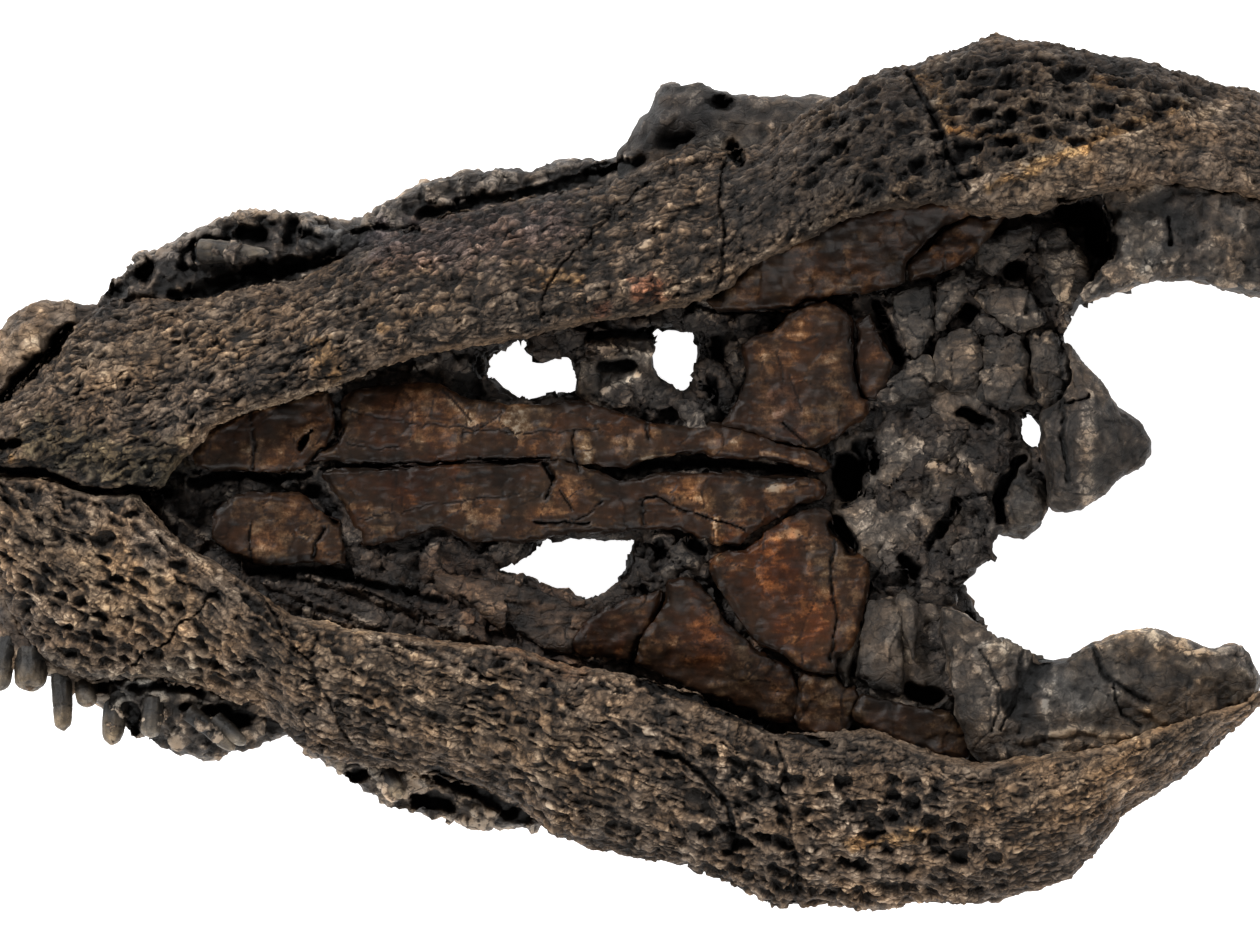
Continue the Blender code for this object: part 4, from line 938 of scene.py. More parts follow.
# Plates: height of the top, thickness, and how the top rises along the jaw and to the left
SLABS = [
    Slab("palatine_left", "palate_bone", 46.6, 5.0, 0.035, -0.08,
         [(310, 459), (330, 447), (340, 428), (342, 402), (355, 388), (400, 383), (440, 388), (470, 402),
          (510, 408), (560, 404), (582, 400), (612, 408), (645, 420), (690, 428), (715, 420), (735, 425),
          (780, 443), (812, 452), (832, 466), (822, 472), (795, 466), (750, 458), (700, 455), (650, 458),
          (625, 470), (590, 465), (552, 461), (470, 464), (380, 467)]),
    Slab("palatine_right", "palate_bone", 46.6, 5.0, 0.035, 0.08,
         [(320, 474), (345, 467), (420, 464), (550, 459), (585, 466), (620, 480), (660, 471), (720, 472),
          (760, 474), (800, 477), (828, 484), (822, 498), (796, 503), (772, 517), (745, 534), (742, 544),
          (712, 545), (680, 532), (600, 532), (550, 534), (520, 545), (470, 540), (430, 530), (400, 538),
          (362, 545), (350, 522), (342, 500), (330, 488)]),
    Slab("pterygoid_left", "palate_bone", 50.0, 5.3, 0.02, 0.06,
         [(720, 424), (738, 400), (742, 380), (742, 346), (756, 336), (776, 334), (790, 318), (802, 305),
          (822, 302), (846, 312), (853, 322), (853, 370), (860, 397), (868, 404), (866, 416), (848, 426),
          (834, 436), (815, 449), (780, 441), (740, 428)]),
    Slab("pterygoid_left_edge", "palate_bone", 49.0, 3.9, 0.05, 0.0,
         [(856, 322), (870, 311), (877, 331), (886, 346), (894, 360), (889, 372), (884, 388), (877, 401),
          (865, 400), (858, 385), (855, 360)]),
    Slab("pterygoid_right", "palate_bone", 49.0, 4.3, 0.0, -0.06,
         [(746, 549), (770, 531), (792, 516), (815, 506), (829, 511), (834, 532), (846, 546), (867, 562),
          (869, 582), (866, 602), (858, 625), (852, 648), (840, 658), (836, 674), (802, 667), (789, 659),
          (762, 646), (746, 630), (727, 602), (713, 576), (709, 560), (726, 551)]),
    Slab("ectopterygoid_right", "palate_bone", 48.5, 4.4, 0.0, 0.16,
         [(668, 581), (690, 580), (702, 592), (722, 618), (746, 642), (770, 660), (789, 669), (798, 690),
          (800, 705), (794, 722), (750, 712), (700, 694), (650, 672), (636, 664), (642, 640), (657, 616),
          (667, 600)]),
    Slab("ectopterygoid_right_front", "palate_bone", 47.0, 4.1, 0.0, 0.12,
         [(576, 642), (586, 620), (606, 606), (640, 598), (662, 589), (663, 598), (654, 618), (639, 640),
          (631, 662), (600, 657), (580, 652)]),
    Slab("palate_shelf_right", "dark_bone", 44.6, 2.2, 0.0, -0.1,
         [(432, 574), (480, 578), (495, 579), (525, 583), (550, 593), (584, 608), (600, 606), (596, 622),
          (584, 636), (572, 650), (540, 646), (505, 628), (470, 606), (440, 590)]),
    Slab("maxilla_shelf_left", "palate_bone", 43.8, 3.5, 0.0, 0.03,
         [(192, 452), (214, 428), (232, 419), (252, 411), (300, 398), (325, 392), (333, 405), (334, 430),
          (326, 448), (306, 464), (280, 470), (252, 470), (225, 472), (198, 468)]),
    Slab("maxilla_shelf_right", "palate_bone", 43.8, 3.5, 0.0, 0.0,
         [(214, 512), (232, 496), (250, 491), (275, 494), (300, 497), (312, 508), (323, 520), (338, 520),
          (344, 540), (346, 568), (328, 565), (312, 560), (285, 563), (268, 565), (251, 562), (228, 553),
          (208, 538), (212, 522)]),
    Slab("splenial_left", "palate_bone", 51.5, 6.4, 0.02, 0.3,
         [(702, 300), (718, 296), (738, 278), (762, 258), (800, 239), (850, 216), (900, 206), (958, 200),
          (966, 214), (940, 228), (922, 248), (905, 262), (905, 284), (878, 291), (850, 293), (826, 295),
          (802, 299), (790, 311), (768, 308), (745, 311), (720, 313)]),
    Slab("splenial_left_rear", "palate_bone", 52.5, 7.4, 0.0, 0.2,
         [(908, 264), (924, 250), (942, 230), (968, 216), (988, 215), (1010, 210), (1000, 225),
          (985, 240), (972, 252), (955, 268), (935, 276), (907, 283)]),
    Slab("splenial_right", "palate_bone", 49.5, 4.4, 0.0, -0.08,
         [(862, 692), (903, 700), (925, 708), (945, 713), (957, 726), (966, 745), (967, 757), (940, 756),
          (900, 741), (866, 725), (854, 714)]),
    Slab("splenial_right_front", "palate_bone", 47.3, 2.6, 0.0, -0.05,
         [(801, 669), (835, 675), (845, 687), (858, 683), (861, 700), (853, 714), (850, 725), (846, 735),
          (825, 742), (800, 727), (794, 716), (798, 700)]),
    Slab("splinter_front", "dark_bone", 47.5, 2.8, 0.0, 0.0,
         [(840, 640), (842, 612), (862, 616), (857, 650), (849, 686), (844, 683), (838, 664)]),
    Slab("splinter_middle", "dark_bone", 50.0, 4.9, 0.0, 0.0,
         [(868, 602), (890, 598), (905, 602), (903, 640), (906, 680), (903, 698), (870, 690), (862, 680),
          (855, 675), (858, 650), (864, 625)]),
    Slab("splinter_rear", "dark_bone", 51.5, 6.4, 0.0, 0.0,
         [(893, 596), (905, 590), (916, 598), (916, 620), (912, 660), (910, 663), (905, 640), (898, 610)]),
    Slab("ectopterygoid_left", "dark_bone", 48.5, 3.4, 0.0, 0.0,
         [(892, 296), (902, 289), (932, 284), (934, 300), (933, 330), (925, 345), (914, 359), (904, 340),
          (894, 320)]),
    Slab("ectopterygoid_left_rear", "dark_bone", 48.0, 2.9, 0.0, 0.0,
         [(936, 284), (962, 272), (968, 288), (958, 310), (950, 320), (938, 333), (935, 318)]),
    Slab("pterygoid_left_rear", "dark_bone", 48.5, 3.4, 0.0, 0.0,
         [(882, 386), (895, 373), (924, 358), (931, 366), (926, 385), (918, 398), (896, 403), (885, 402)]),
    Slab("otic_plate_left", "dark_bone", 51.0, 5.9, 0.0, 0.1,
         [(976, 246), (1002, 236), (1032, 228), (1028, 246), (1010, 260), (992, 276), (978, 268)]),
    Slab("quadratojugal_left", "dark_bone", 50.0, 4.9, 0.0, 0.0,
         [(1042, 238), (1062, 228), (1070, 240), (1084, 258), (1092, 272), (1080, 300), (1060, 298),
          (1046, 280), (1038, 258)]),
    Slab("paroccipital_left", "dark_bone", 49.5, 4.4, 0.0, 0.0,
         [(974, 290), (1000, 284), (1034, 292), (1046, 322), (1020, 330), (1000, 322), (988, 310)]),
    Slab("prootic_left", "dark_bone", 48.5, 3.4, 0.0, 0.0,
         [(940, 340), (960, 328), (976, 336), (982, 360), (972, 384), (948, 392), (936, 372)]),
    Slab("exoccipital_left", "dark_bone", 49.0, 3.9, 0.0, 0.0,
         [(986, 336), (1020, 334), (1026, 356), (1024, 384), (1034, 402), (1004, 410), (978, 400),
          (984, 364)]),
    Slab("exoccipital_left_rear", "dark_bone", 49.0, 3.9, 0.0, 0.0,
         [(1030, 336), (1054, 334), (1066, 356), (1072, 380), (1060, 402), (1044, 410), (1034, 388)])]

# Rock: its heights, how its top rises along the jaw from a point, and the splinters strewn on it, with
# their number, size and height over the rock's top
ROCKS = [
    Rock("rock_front",
         [(150, 480), (200, 400), (330, 365), (480, 340), (620, 310), (740, 270), (800, 250), (880, 230),
          (900, 300), (890, 420), (870, 500), (880, 600), (860, 720), (800, 735), (640, 680), (560, 668),
          (430, 650), (310, 650), (250, 610), (165, 530)],
         24.0, 41.3, 0.035, -29.0, [
             Chips(14, 6.0, 0.4, [(165, 475), (190, 462), (310, 470), (310, 478), (200, 500), (170, 495)]),
             Chips(10, 6.0, 0.8, [(318, 385), (345, 385), (350, 440), (330, 455)]),
             Chips(12, 6.0, 0.6, [(320, 485), (350, 500), (372, 545), (346, 560), (330, 520)]),
             Chips(12, 7.0, -0.4, [(350, 545), (430, 530), (520, 548), (480, 572), (440, 575), (360, 570)]),
             Chips(22, 7.5, 0.6, [(582, 350), (650, 335), (650, 372), (665, 398), (585, 398)]),
             Chips(16, 7.0, 1.0, [(700, 320), (740, 330), (740, 385), (700, 425), (672, 400), (702, 370)]),
             Chips(20, 7.0, 1.0, [(640, 535), (710, 545), (710, 580), (735, 620), (760, 650), (740, 650),
                                  (700, 600), (640, 590)])]),
    Rock("rock_rear",
         [(870, 230), (1000, 205), (1110, 190), (1200, 180), (1215, 275), (1150, 278), (1095, 294),
          (1078, 300), (1060, 328), (1066, 345), (1090, 380), (1110, 410), (1085, 430), (1050, 470),
          (1010, 525), (975, 528), (984, 550), (965, 568), (945, 600), (948, 620), (985, 640),
          (1000, 700), (940, 745), (860, 735), (850, 600), (860, 500), (880, 420), (880, 300)],
         24.0, 44.9, 0.0, 0.0, [
             Chips(75, 9.0, 1.2, [(870, 400), (1000, 400), (1020, 450), (990, 540), (940, 600), (870, 560)]),
             Chips(30, 8.0, 0.8, [(960, 240), (1080, 225), (1060, 330), (960, 340)]),
             Chips(24, 8.0, 1.0, [(920, 600), (990, 650), (990, 700), (915, 700)])])]

# Long smooth splinters that lie on the rock: height over it and outline
SPLINTERS = {
    "rock_front": [
        Splinter(2.6, [(350, 568), (372, 570), (440, 596), (506, 630), (500, 644), (440, 618), (380, 596),
                       (348, 584)]),
        Splinter(1.6, [(262, 582), (290, 584), (360, 606), (436, 632), (430, 646), (350, 624), (280, 602)]),
        Splinter(2.2, [(452, 630), (500, 636), (576, 654), (568, 668), (500, 656), (456, 644)]),
        Splinter(1.0, [(395, 546), (430, 536), (462, 542), (430, 552), (400, 562)]),
        Splinter(1.6, [(596, 344), (650, 350), (652, 358), (600, 354)]),
        Splinter(2.0, [(598, 392), (636, 370), (642, 378), (604, 400)])],
    "rock_rear": [
        Splinter(4.0, [(925, 500), (960, 486), (998, 492), (992, 506), (960, 504), (930, 516)]),
        Splinter(3.4, [(900, 470), (935, 440), (950, 446), (916, 482)]),
        Splinter(3.0, [(905, 560), (950, 552), (984, 560), (950, 572), (910, 574)])]}

ROCK_HOLES = {"rock_front": ("left_front", "left_rear", "right"), "rock_rear": ("rear",)}

# ---------------------------------------------------------------- the lower jaw's sculptured bones

# Lines that the sculpture of each side follows, along the jaw and out from the middle
FLOW_LEFT = [(-170, 6), (-130, 20), (-100, 29), (-60, 44), (0, 57), (24, 63), (60, 82), (100, 88), (178, 76)]
FLOW_RIGHT = [
    (-170, 8), (-145, 22), (-118, 32), (-84, 52), (-60, 57), (0, 73), (40, 86), (86, 90), (120, 82),
    (158, 56)]

# The planes that part the jaw's bones, and how far each bone reaches past them to hide the gap
SEAMS = (16.2, 24.2, 76.2, 86.2)
SEAM_REACH = 0.6
SEAM_OVERLAP = 2.2

# Length along the bone, width across it, depth and how many cells have a pit
SMALL_PITS = Pits(3.2, 2.2, 1.3, 0.35)
ROUND_PITS = Pits(4.8, 3.4, 2.3, 0.8)
HONEYCOMB = Pits(4.6, 3.8, 2.4, 0.9)
BIG_PITS = Pits(5.6, 4.2, 2.7, 0.82)
ROWS = Pits(7.5, 3.4, 3.2, 0.95)

# The smooth inner strip and the rough outer edge at the rear of the left side
STRIP_LEFT = [(70, 66), (84, 70.6), (149, 91.9), (178, 96)]
EDGE_LEFT = [(40, 84), (60, 98), (84, 103), (92, 104), (127, 98), (150, 91), (178, 86)]

# Swells, furrows, fine lines and knobs: length along the bone, width across it and height
SWELLS = Relief(14.0, 4.5, 0.7)
FURROWS_LEFT = Relief(9.0, 1.9, 0.8)
FURROWS_RIGHT = Relief(9.0, 1.8, 0.95)
LINES_LEFT = Relief(5.0, 1.3, 0.55)
LINES_RIGHT = Relief(7.0, 1.3, 0.5)
LINES_STRIP = Relief(12.0, 1.3, 0.3)
KNOBS_LEFT = Relief(5.5, 2.6, 0.6)
KNOBS_RIGHT = Relief(6.0, 2.8, 0.35)

# Where one kind of sculpture gives way to the next along the jaw, and where the large pits begin across it
FRONT_LEFT = (-75, -50)
MIDDLE_LEFT = (20, 45)
COMB_BEGINS = (30, 50)
ROWS_BEGIN = (76, 82)
STRIP_BEGINS = (76, 84)
EDGE_BEGINS = (40, 60)
FRONT_RIGHT = (-98, -82)
MIDDLE_RIGHT = (5, 25)
BIG_PITS_INNER = (-16, -11)
BIG_PITS_END = (85, 105)

# How wide the change is at the strip's and the edge's own lines
SIDE_WIDTH = 3.0

# How much lighter the right side is than the left
RIGHT_TONE = 1.15


def jaw_mesh(name):
    """The solid with its cut ends pushed on into its neighbour, so that no gap shows."""
    shape = cad_mesh(name)
    for vert in shape.verts:
        for seam in SEAMS:
            past = vert.co.x / MM + MIDDLE_X - seam
            if abs(past) < SEAM_REACH:
                vert.co.x -= math.copysign(SEAM_OVERLAP * MM, past)
    return shape


def flow_points(bone, side):
    """The bone's points along, across and up from the line that its sculpture follows."""
    xs, ys = zip(*(FLOW_LEFT if side > 0 else FLOW_RIGHT))
    along = bone.points[:, 0]
    across = side * bone.points[:, 1] - np.interp(along, xs, ys)
    flow = np.stack([along, across, bone.points[:, 2]], axis=1).astype(np.float32)
    return flow + 0.9 * noise_vectors(flow, 4.0, 200)


def stretched(flow, form):
    """Flow points counted in a form's length and width."""
    return flow / np.array([form.along, form.across, form.across], np.float32)


def press_pits(bone, flow, pits, weight, seed):
    """Pits walled by ridges, strewn over the surface where the weight is high; the pits are darkened with
    painted shade and the walls lightened with painted highlight.
    """
    first, second, number, _ = scattered(stretched(flow, pits), seed)
    first = first + 0.14 * noise(flow, 1.4, seed + 2)
    kept = number < pits.share
    width = 0.42 + 0.26 * number / pits.share
    pit = (1 - ramp(first, 0.35 * width, width)) * kept * (0.55 + 0.45 * number / pits.share)
    wall = (1 - ramp(second - first, 0.0, 0.35)) * ramp(first, 0.3, 0.6)
    bone.push(weight * pits.depth * (0.2 * wall - pit), 0.8)
    bone.paint_recess_shade(0.85 * weight * ramp(pit, 0.25, 0.85))


def score_grooves(bone, flow, grooves, weight, seed):
    """Thin furrows that wander along the bone, darkened with painted shade."""
    groove = 1 - ramp(np.abs(noise(stretched(flow, grooves), 1.0, seed)), 0.03, 0.2)
    groove *= ramp(noise(flow, 6.0, seed + 1), -0.5, 0.1)
    bone.push(-weight * grooves.height * groove, 1.1)
    bone.paint_recess_shade(0.75 * weight * groove)


def raise_knobs(bone, flow, knobs, weight, seed):
    """Rope-like rows of low knobs, lightened with painted highlight, with creases darkened by painted shade
    between them.
    """
    first, second, number, _ = scattered(stretched(flow, knobs), seed)
    dome = 1 - ramp(first, 0.1, 0.85)
    crease = 1 - ramp(second - first, 0.0, 0.22)
    bone.push(weight * knobs.height * (dome * (0.4 + number) - 0.5 - 0.5 * crease), 1.0)
    bone.paint_recess_shade(0.55 * weight * crease)


def facing_out(bone, side):
    """1 where the surface looks up or outwards, 0 where it looks down or to the middle."""
    look = 0.45 * side * bone.normals[:, 1] + 0.9 * bone.normals[:, 2]
    return ramp(look, -0.1, 0.35)


def beyond(bone, line):
    """1 where a point lies outside a line along the left jaw, with a soft change."""
    xs, ys = zip(*line)
    return ramp(bone.points[:, 1] - np.interp(bone.points[:, 0], xs, ys), 0.0, SIDE_WIDTH)


def sculpt_left(bone, flow, out):
    """Flaky ridges in front, rope-like knobs in the middle, then honeycomb and rows of long pits."""
    along = flow[:, 0]
    front = 1 - ramp(along, *FRONT_LEFT)
    middle = (1 - front) * (1 - ramp(along, *MIDDLE_LEFT))
    rows = ramp(along, *ROWS_BEGIN)
    comb = ramp(along, *COMB_BEGINS) * (1 - rows)
    strip = (1 - beyond(bone, STRIP_LEFT)) * ramp(along, *STRIP_BEGINS)
    edge = beyond(bone, EDGE_LEFT) * ramp(along, *EDGE_BEGINS)
    score_grooves(bone, flow, FURROWS_LEFT, out * (front + 0.4 * middle), 31)
    score_grooves(bone, flow, LINES_LEFT, out * (0.9 - 0.5 * strip), 33)
    press_pits(bone, flow, SMALL_PITS, out * (0.9 * front + 0.5 * middle), 35)
    raise_knobs(bone, flow, KNOBS_LEFT, out * (middle + 0.2 * front), 36)
    press_pits(bone, flow, HONEYCOMB, out * comb * (1 - edge), 37)
    press_pits(bone, flow, SMALL_PITS, out * (comb + rows) * 0.4, 38)
    press_pits(bone, flow, ROWS, out * rows * (1 - strip) * (1 - edge), 65)
    score_grooves(bone, flow, LINES_STRIP, out * strip, 67)
    bone.shade(1 - 0.6 * (comb + rows) * (1 - strip) * (1 - 0.5 * edge))


def sculpt_right(bone, flow, out):
    """Round pits in front, ridges and scales in the middle, and large pits behind."""
    along, across = flow[:, 0], flow[:, 1]
    front = 1 - ramp(along, *FRONT_RIGHT)
    rear = ramp(along, *MIDDLE_RIGHT)
    middle = (1 - front) * (1 - rear)
    pitted = rear * ramp(across, *BIG_PITS_INNER) * (1 - ramp(along, *BIG_PITS_END))
    press_pits(bone, flow, ROUND_PITS, out * front, 45)
    press_pits(bone, flow, SMALL_PITS, out * (0.6 * front + middle + 0.4 * rear), 49)
    score_grooves(bone, flow, FURROWS_RIGHT, out * (0.5 * front + middle + 0.5 * rear), 41)
    raise_knobs(bone, flow, KNOBS_RIGHT, out * middle, 46)
    press_pits(bone, flow, BIG_PITS, out * pitted, 55)
    score_grooves(bone, flow, LINES_RIGHT, out * (0.4 * front + rear), 57)


def jaw_bones():
    """The sculptured bones of both sides: 1 is the left side and -1 the right."""
    for end, side, sculpt in (("_left", 1, sculpt_left), ("_right", -1, sculpt_right)):
        for name in ("dentary" + end, "angular" + end, "surangular" + end):
            bone = Bone("bone_" + name, jaw_mesh(name), FINE, 3)
            bone.grow(GAP_FILL)
            out = facing_out(bone, side)
            flow = flow_points(bone, side)
            bone.push(out * SWELLS.height * noise(stretched(flow, SWELLS), 1.0, 20), 0.7)
            bone.refresh()
            sculpt(bone, flow, out)
            bone.facets(3.0, 0.32, 58, 0.12, 0.2)
            bone.mottle((0.3, 22.0, 59), (0.2, 7.0, 60))
            if side < 0:
                bone.tint *= RIGHT_TONE
            bone.warp()
            bone.grain(1.5, 0.24, 41)
            bone.mark()
            bone.finish("outer_bone", name)


# ---------------------------------------------------------------- the palate and the parts round it

# How far a plate reaches below its thickness into the rock, and a splinter below the rock's top
PLATE_ROOT = 2.0
SPLINTER_ROOT = 3.0

# The flats of a smooth and a rough plate with their height and gap, and the height of its lines and grain
SMOOTH_PLATE = PlateFinish(11.0, 0.2, 0.02, 0.09, 0.07)
ROUGH_PLATE = PlateFinish(8.0, 0.7, 0.035, 0.16, 0.18)

# How noise is squeezed to draw lines along the skull on a plate, and across it on a splinter
PLATE_LINES = (0.15, 1, 1)
SPLINTER_LINES = (1, 0.12, 1)

ROCK_DICE = 4


def worn_shaded_plate(slab):
    """A slab's even mesh with its top leaning and its edges worn down and darkened with painted shade, and 1
    where it looks up.
    """
    shape = bmesh.new()
    add_prism(shape, slab.outline, slab.top - slab.thick - PLATE_ROOT, slab.top)
    bone = Bone("plate_" + slab.name, shape, FINE, 1)
    outline = drawn_all(slab.outline)
    lean = (bone.points[:, :2] - np.mean(outline, axis=0)) @ np.array([slab.rise_x, slab.rise_y])
    bone.points[:, 2] += lean.astype(np.float32)
    edge = distance_to_line(bone.points[:, 0], bone.points[:, 1], outline + outline[:1])
    worn = 1 - ramp(edge + 0.7 * noise(bone.points, 2.5, 129), 0.0, 1.4)
    upper = ramp(bone.normals[:, 2], 0.0, 0.5)
    bone.points[:, 2] -= 0.6 * worn * upper
    # Painted shade darkens the worn edges and a band about 4.5 mm wide along the outline
    bone.relief -= 0.2 * worn
    bone.shade(0.62 + 0.42 * ramp(edge + noise(bone.points, 4.0, 145), 0.0, 4.5))
    bone.mottle((0.4, 16.0, 146), (0.25, 5.0, 147))
    return bone, upper


def plates():
    """The palate's broken plates, each an upright slab with a leaning top and worn edges darkened with
    painted shade.
    """
    for slab in SLABS:
        bone, upper = worn_shaded_plate(slab)
        splinter = slab.name.startswith("splinter")
        surface = SMOOTH_PLATE if slab.slot == "palate_bone" or splinter else ROUGH_PLATE
        bone.push(noise(bone.points, 13.0, 130) + 0.25 * noise(bone.points, 5.0, 131), 0.35)
        bone.facets(surface.flat, surface.lift, 133, surface.gap, 0.22)
        lines = bone.points * np.array(SPLINTER_LINES if splinter else PLATE_LINES, np.float32)
        bone.push(surface.line * noise(lines, 0.9, 136), 2.5)
        bone.warp()
        bone.points += 0.3 * noise_vectors(bone.points, 1.6, 140) * (1 - upper)[:, None]
        bone.grain(2.0, surface.grain, 137)
        bone.mark()
        bone.finish(slab.slot, slab.name)


def rock_shape(rock, dice):
    """A slab of rock with its holes, strewn with splinters."""
    shape = bmesh.new()
    add_prism(shape, rock.outline, rock.bottom, rock.top, [HOLES[name] for name in ROCK_HOLES[rock.node]])
    holes = [drawn_all(hole) for hole in HOLES.values()]
    for chips in rock.chips:
        add_chips(shape, chips, rock.top, holes, dice)
    for splinter in SPLINTERS[rock.node]:
        add_prism(shape, splinter.outline, rock.top - SPLINTER_ROOT, rock.top + splinter.rise)
    return shape


def rocks():
    """The dark rock and splinters that fill the gaps between the bones."""
    dice = np.random.default_rng(ROCK_DICE)
    for rock in ROCKS:
        bone = Bone("fill_" + rock.node, rock_shape(rock, dice), COARSE, 1)
        upper = ramp(bone.points[:, 2], rock.bottom + 2, rock.bottom + 8)
        bone.points[:, 2] += upper * rock.rise_x * (bone.points[:, 0] - rock.middle_x)
        bone.facets(9.0, 1.8, 150, 0.05, 0.3, 0.2)
        bone.refresh()
        bone.facets(4.0, 0.6, 155, 0.05, 0.2, 0.4)
        bone.warp()
        bone.grain(1.4, 0.2, 157)
        bone.mark()
        bone.finish("rock", rock.node)


# Bones with a plain surface: how their mesh is made, and size and height of their lumps
PLAIN = [
    Plain("dark_bone", MEDIUM, True, 2, 7.0, 0.6, ["articular_right", "palate_fragment"]),
    Plain("dark_bone", MEDIUM, True, 3, 9.0, 0.45, ["quadrate_left", "quadrate_right", "braincase"]),
    Plain("dark_bone", MEDIUM, True, 1, 5.0, 1.0, ["articular_left"]),
    Plain("dark_bone", COARSE, True, 1, 3.8, 1.3, ["maxilla_left", "maxilla_right"]),
    Plain("dark_bone", COARSE, False, 2, 5.0, 0.7, ["jugal_left", "jugal_right"]),
    Plain("outer_bone", MEDIUM, True, 2, 5.0, 0.7, ["premaxilla_left", "premaxilla_right"]),
    Plain("outer_bone", COARSE, False, 3, 7.0, 0.6, [
        "skull_table", "frontal", "nasals", "prefrontal_left", "prefrontal_right", "postorbital_left",
        "postorbital_right"]),
    Plain("rock", COARSE, False, 2, 4.0, 1.2, ["rock_left", "rock_right"])]


def plain_bones():
    """Bones and rock without a sculpture of their own: lumpy, finely broken and grained."""
    for plain in PLAIN:
        for name in plain.names:
            bone = Bone("bone_" + name, cad_mesh(name), plain.voxel, plain.smoothing, plain.refine)
            bone.grow(GAP_FILL)
            bone.push(plain.height * rough(bone.points, plain.size, 3, 60 + len(name)), 0.8)
            bone.mottle((0.3, 15.0, 61), (0.25, 5.0, 62))
            bone.refresh()
            bone.facets(2 * plain.size, 0.7 * plain.height, 63, 0.02, 0.2)
            bone.warp()
            bone.grain(1.8, 0.26, 43)
            bone.mark()
            bone.finish(plain.slot, name)


# ---------------------------------------------------------------- teeth

# Root and tip of each tooth from the drawing's middle, y up, its radius and how much it narrows
TEETH = [
    Tooth("premaxilla_right", (-156, -40, 26), (-158.5, -55, 30), 2.6, 0.2),
    Tooth("premaxilla_right", (-150.5, -45, 26), (-151, -54.5, 31), 4.2, 0.2),
    Tooth("premaxilla_right", (-143, -49, 26), (-142.6, -65, 30), 2.6, 0.2),
    Tooth("premaxilla_right", (-137, -52, 26), (-136.6, -58.5, 31), 2.8, 0.2),
    Tooth("maxilla_right", (-129, -54, 25), (-130.4, -68.5, 29), 3.0, 0.2),
    Tooth("maxilla_right", (-119.5, -57, 31), (-120.5, -66.5, 34), 2.8, 0.2),
    Tooth("maxilla_right", (-111, -60, 34), (-99, -69.5, 36), 2.0, 0.2),
    Tooth("maxilla_right", (-104, -62, 34), (-96.5, -68, 38), 2.0, 0.2),
    Tooth("maxilla_right", (-63, -73, 32), (-57.5, -81.5, 38), 2.6, 0.2),
    Tooth("maxilla_left", (-108, 55.6, 34), (-90.5, 55.1, 38), 2.9, 0.75)]

TOOTH_SIDES = 20
TOOTH_RINGS = 12

# How far apart a tooth's cracks are round it, and where the first one is
CRACK_STEP = 6.5
CRACK_START = 4.0

# The painted shadow on a root under the jaw, which is lighter on a tooth that narrows by more than SLIM
SLIM = 0.5
ROOT_SHADE = 0.3
SLIM_ROOT_SHADE = 0.8


def tooth_shape(tooth):
    """A blunt cone from the tooth's root to its tip."""
    shape = bmesh.new()
    middle = Vector((MIDDLE_X, 0, 0))
    root, tip = Vector(tooth.root) - middle, Vector(tooth.tip) - middle
    axis = (tip - root).normalized()
    aside = axis.orthogonal().normalized()
    across = axis.cross(aside)
    loops = []
    for ring in range(TOOTH_RINGS + 1):
        share = ring / TOOTH_RINGS
        width = tooth.radius * (1.08 - tooth.taper * share ** 1.5) * math.sqrt(1.02 - share ** 12)
        centre = root.lerp(tip, share)
        turns = [math.tau * k / TOOTH_SIDES for k in range(TOOTH_SIDES)]
        around = [math.cos(turn) * aside + math.sin(turn) * across for turn in turns]
        loops.append([shape.verts.new((centre + width * way) * MM) for way in around])
    for lower, upper in zip(loops, loops[1:]):
        for k in range(TOOTH_SIDES):
            after = (k + 1) % TOOTH_SIDES
            shape.faces.new((lower[k], lower[after], upper[after], upper[k]))
    shape.faces.new(reversed(loops[0]))
    shape.faces.new(loops[-1])
    return shape


def teeth():
    """Broken teeth, ribbed along their length and cracked round it, with painted shade in the cracks and
    roots darkened by painted shadow.
    """
    for number, tooth in enumerate(TEETH, 1):
        root, tip = Vector(tooth.root), Vector(tooth.tip)
        length = (tip - root).length
        axis = np.array((tip - root).normalized(), np.float32)
        bone = Bone("tooth_%d" % number, tooth_shape(tooth), TOOTH_MESH, 1, False)
        along = (bone.points - np.array(root, np.float32)) @ axis
        ribs = bone.points - 0.93 * along[:, None] * axis
        bone.push(0.16 * noise(ribs, 0.9, 170) + 0.22 * noise(bone.points, 3.0, 172), 2.2)
        rings = along + 0.6 * noise(bone.points, 2.0, 174 + number)
        crack = 1 - ramp(np.abs(np.mod(rings, CRACK_STEP) - CRACK_START), 0.06, 0.26)
        bone.push(-0.2 * crack, 1.0)
        bone.paint_recess_shade(0.55 * crack)
        bone.relief += 0.8 * ramp(along, 0.4 * length, length) - 0.5
        root_shade = SLIM_ROOT_SHADE if tooth.taper > SLIM else ROOT_SHADE
        crown = ramp(along + noise(bone.points, 3.0, 190), 0.35 * length, 0.9 * length)
        bone.shade(root_shade + (1 - root_shade) * crown)
        bone.finish("outer_bone", tooth.bone, material="tooth")


# ---------------------------------------------------------------- stage, light and camera

FLOOR_HALF = 3.0
FLOOR_GREY = (0.8, 0.8, 0.8, 1)
FLOOR_ROUGHNESS = 0.9
LIGHT_WHITE = (1, 1, 1, 1)
FLOOR_GLOW = 1.0
SKY_STRENGTH = 0.1
CLIP_END = 10

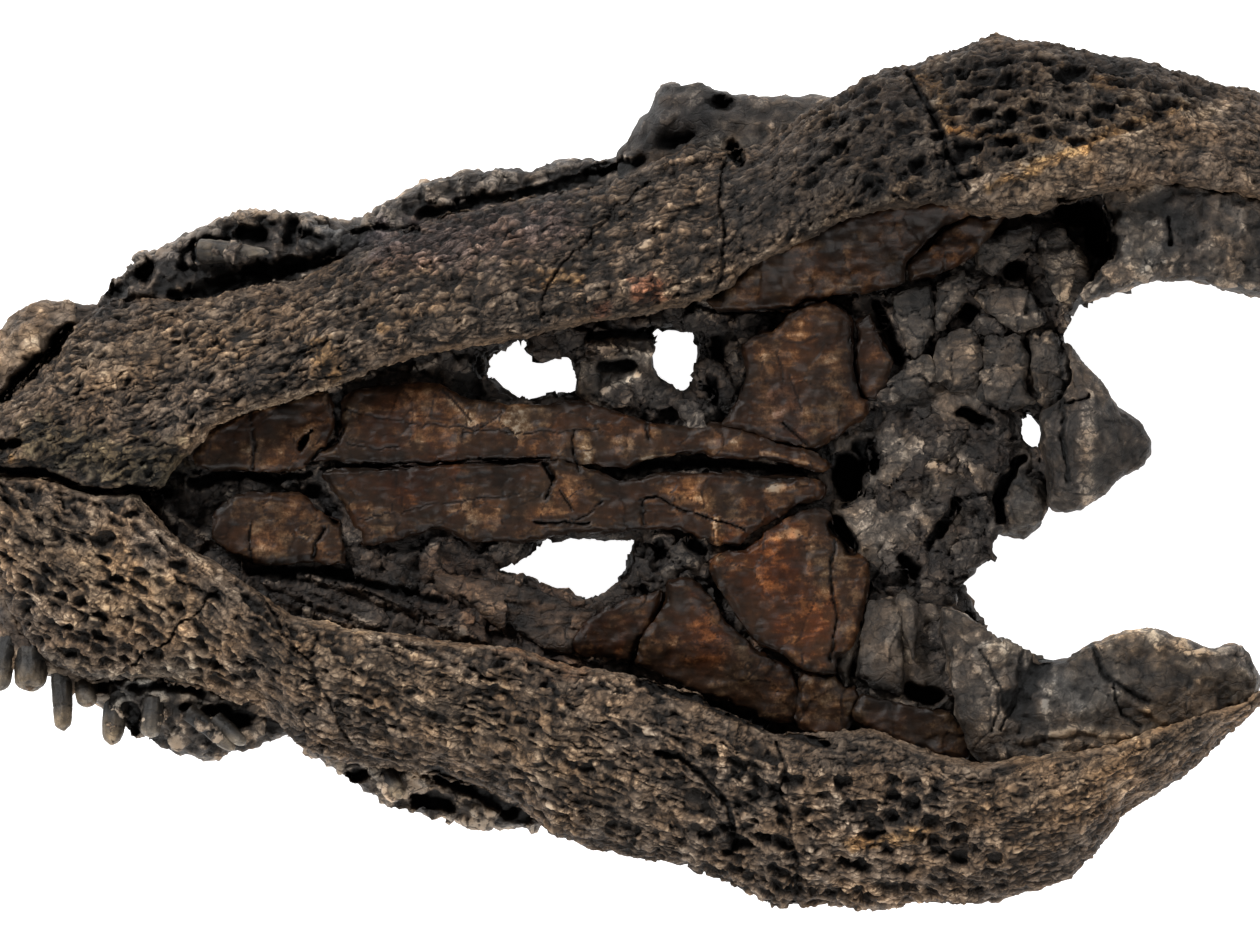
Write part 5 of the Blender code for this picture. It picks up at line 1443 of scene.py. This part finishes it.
# Each lamp's name, place in metres, watts and width in metres
LAMPS = [
    ("key", (-1.25, 1.35, 1.15), 58, 0.5),
    ("fill_right", (1.4, 0.9, 1.1), 15, 0.9),
    ("fill_near", (-0.1, -1.6, 1.2), 32, 0.9)]


def add_stage():
    """A pale floor that is lit evenly from within."""
    mesh = bpy.data.meshes.new("floor")
    corners = [(x * FLOOR_HALF, y * FLOOR_HALF, 0) for x, y in ((-1, -1), (1, -1), (1, 1), (-1, 1))]
    mesh.from_pydata(corners, [], [(0, 1, 2, 3)])
    paint = bpy.data.materials.new("floor_paint")
    paint.use_nodes = True
    shader = paint.node_tree.nodes["Principled BSDF"]
    shader.inputs["Base Color"].default_value = FLOOR_GREY
    shader.inputs["Roughness"].default_value = FLOOR_ROUGHNESS
    shader.inputs["Emission Color"].default_value = LIGHT_WHITE
    shader.inputs["Emission Strength"].default_value = FLOOR_GLOW
    mesh.materials.append(paint)
    floor = linked("floor", mesh)


def add_light():
    """Soft lamps that face the skull, and a faint even light all round."""
    world = bpy.data.worlds.new("studio")
    bpy.context.scene.world = world
    world.use_nodes = True
    sky = world.node_tree.nodes["Background"]
    sky.inputs["Color"].default_value = LIGHT_WHITE
    sky.inputs["Strength"].default_value = SKY_STRENGTH
    for name, place, power, size in LAMPS:
        lamp = bpy.data.lights.new(name, "AREA")
        lamp.shape = "DISK"
        lamp.size = size
        lamp.energy = power
        light = linked(name, lamp)
        light.location = place
        light.rotation_euler = (-Vector(place)).to_track_quat("-Z", "Y").to_euler()


def add_camera():
    """A camera straight above the drawing's middle that sees just the drawing at the palate's height."""
    distance = DRAWING[0] * STEP * LENS / SENSOR
    lens = bpy.data.cameras.new("camera")
    lens.lens = LENS
    lens.sensor_width = SENSOR
    lens.clip_end = CLIP_END
    camera = linked("camera", lens)
    camera.location = (-MIDDLE_X * MM, 0, (PALATE_HEIGHT + distance) * MM)
    bpy.context.scene.camera = camera


add_stage()
add_light()
add_camera()
jaw_bones()
plates()
rocks()
plain_bones()
teeth()
bpy.context.scene.view_settings.view_transform = "Standard"
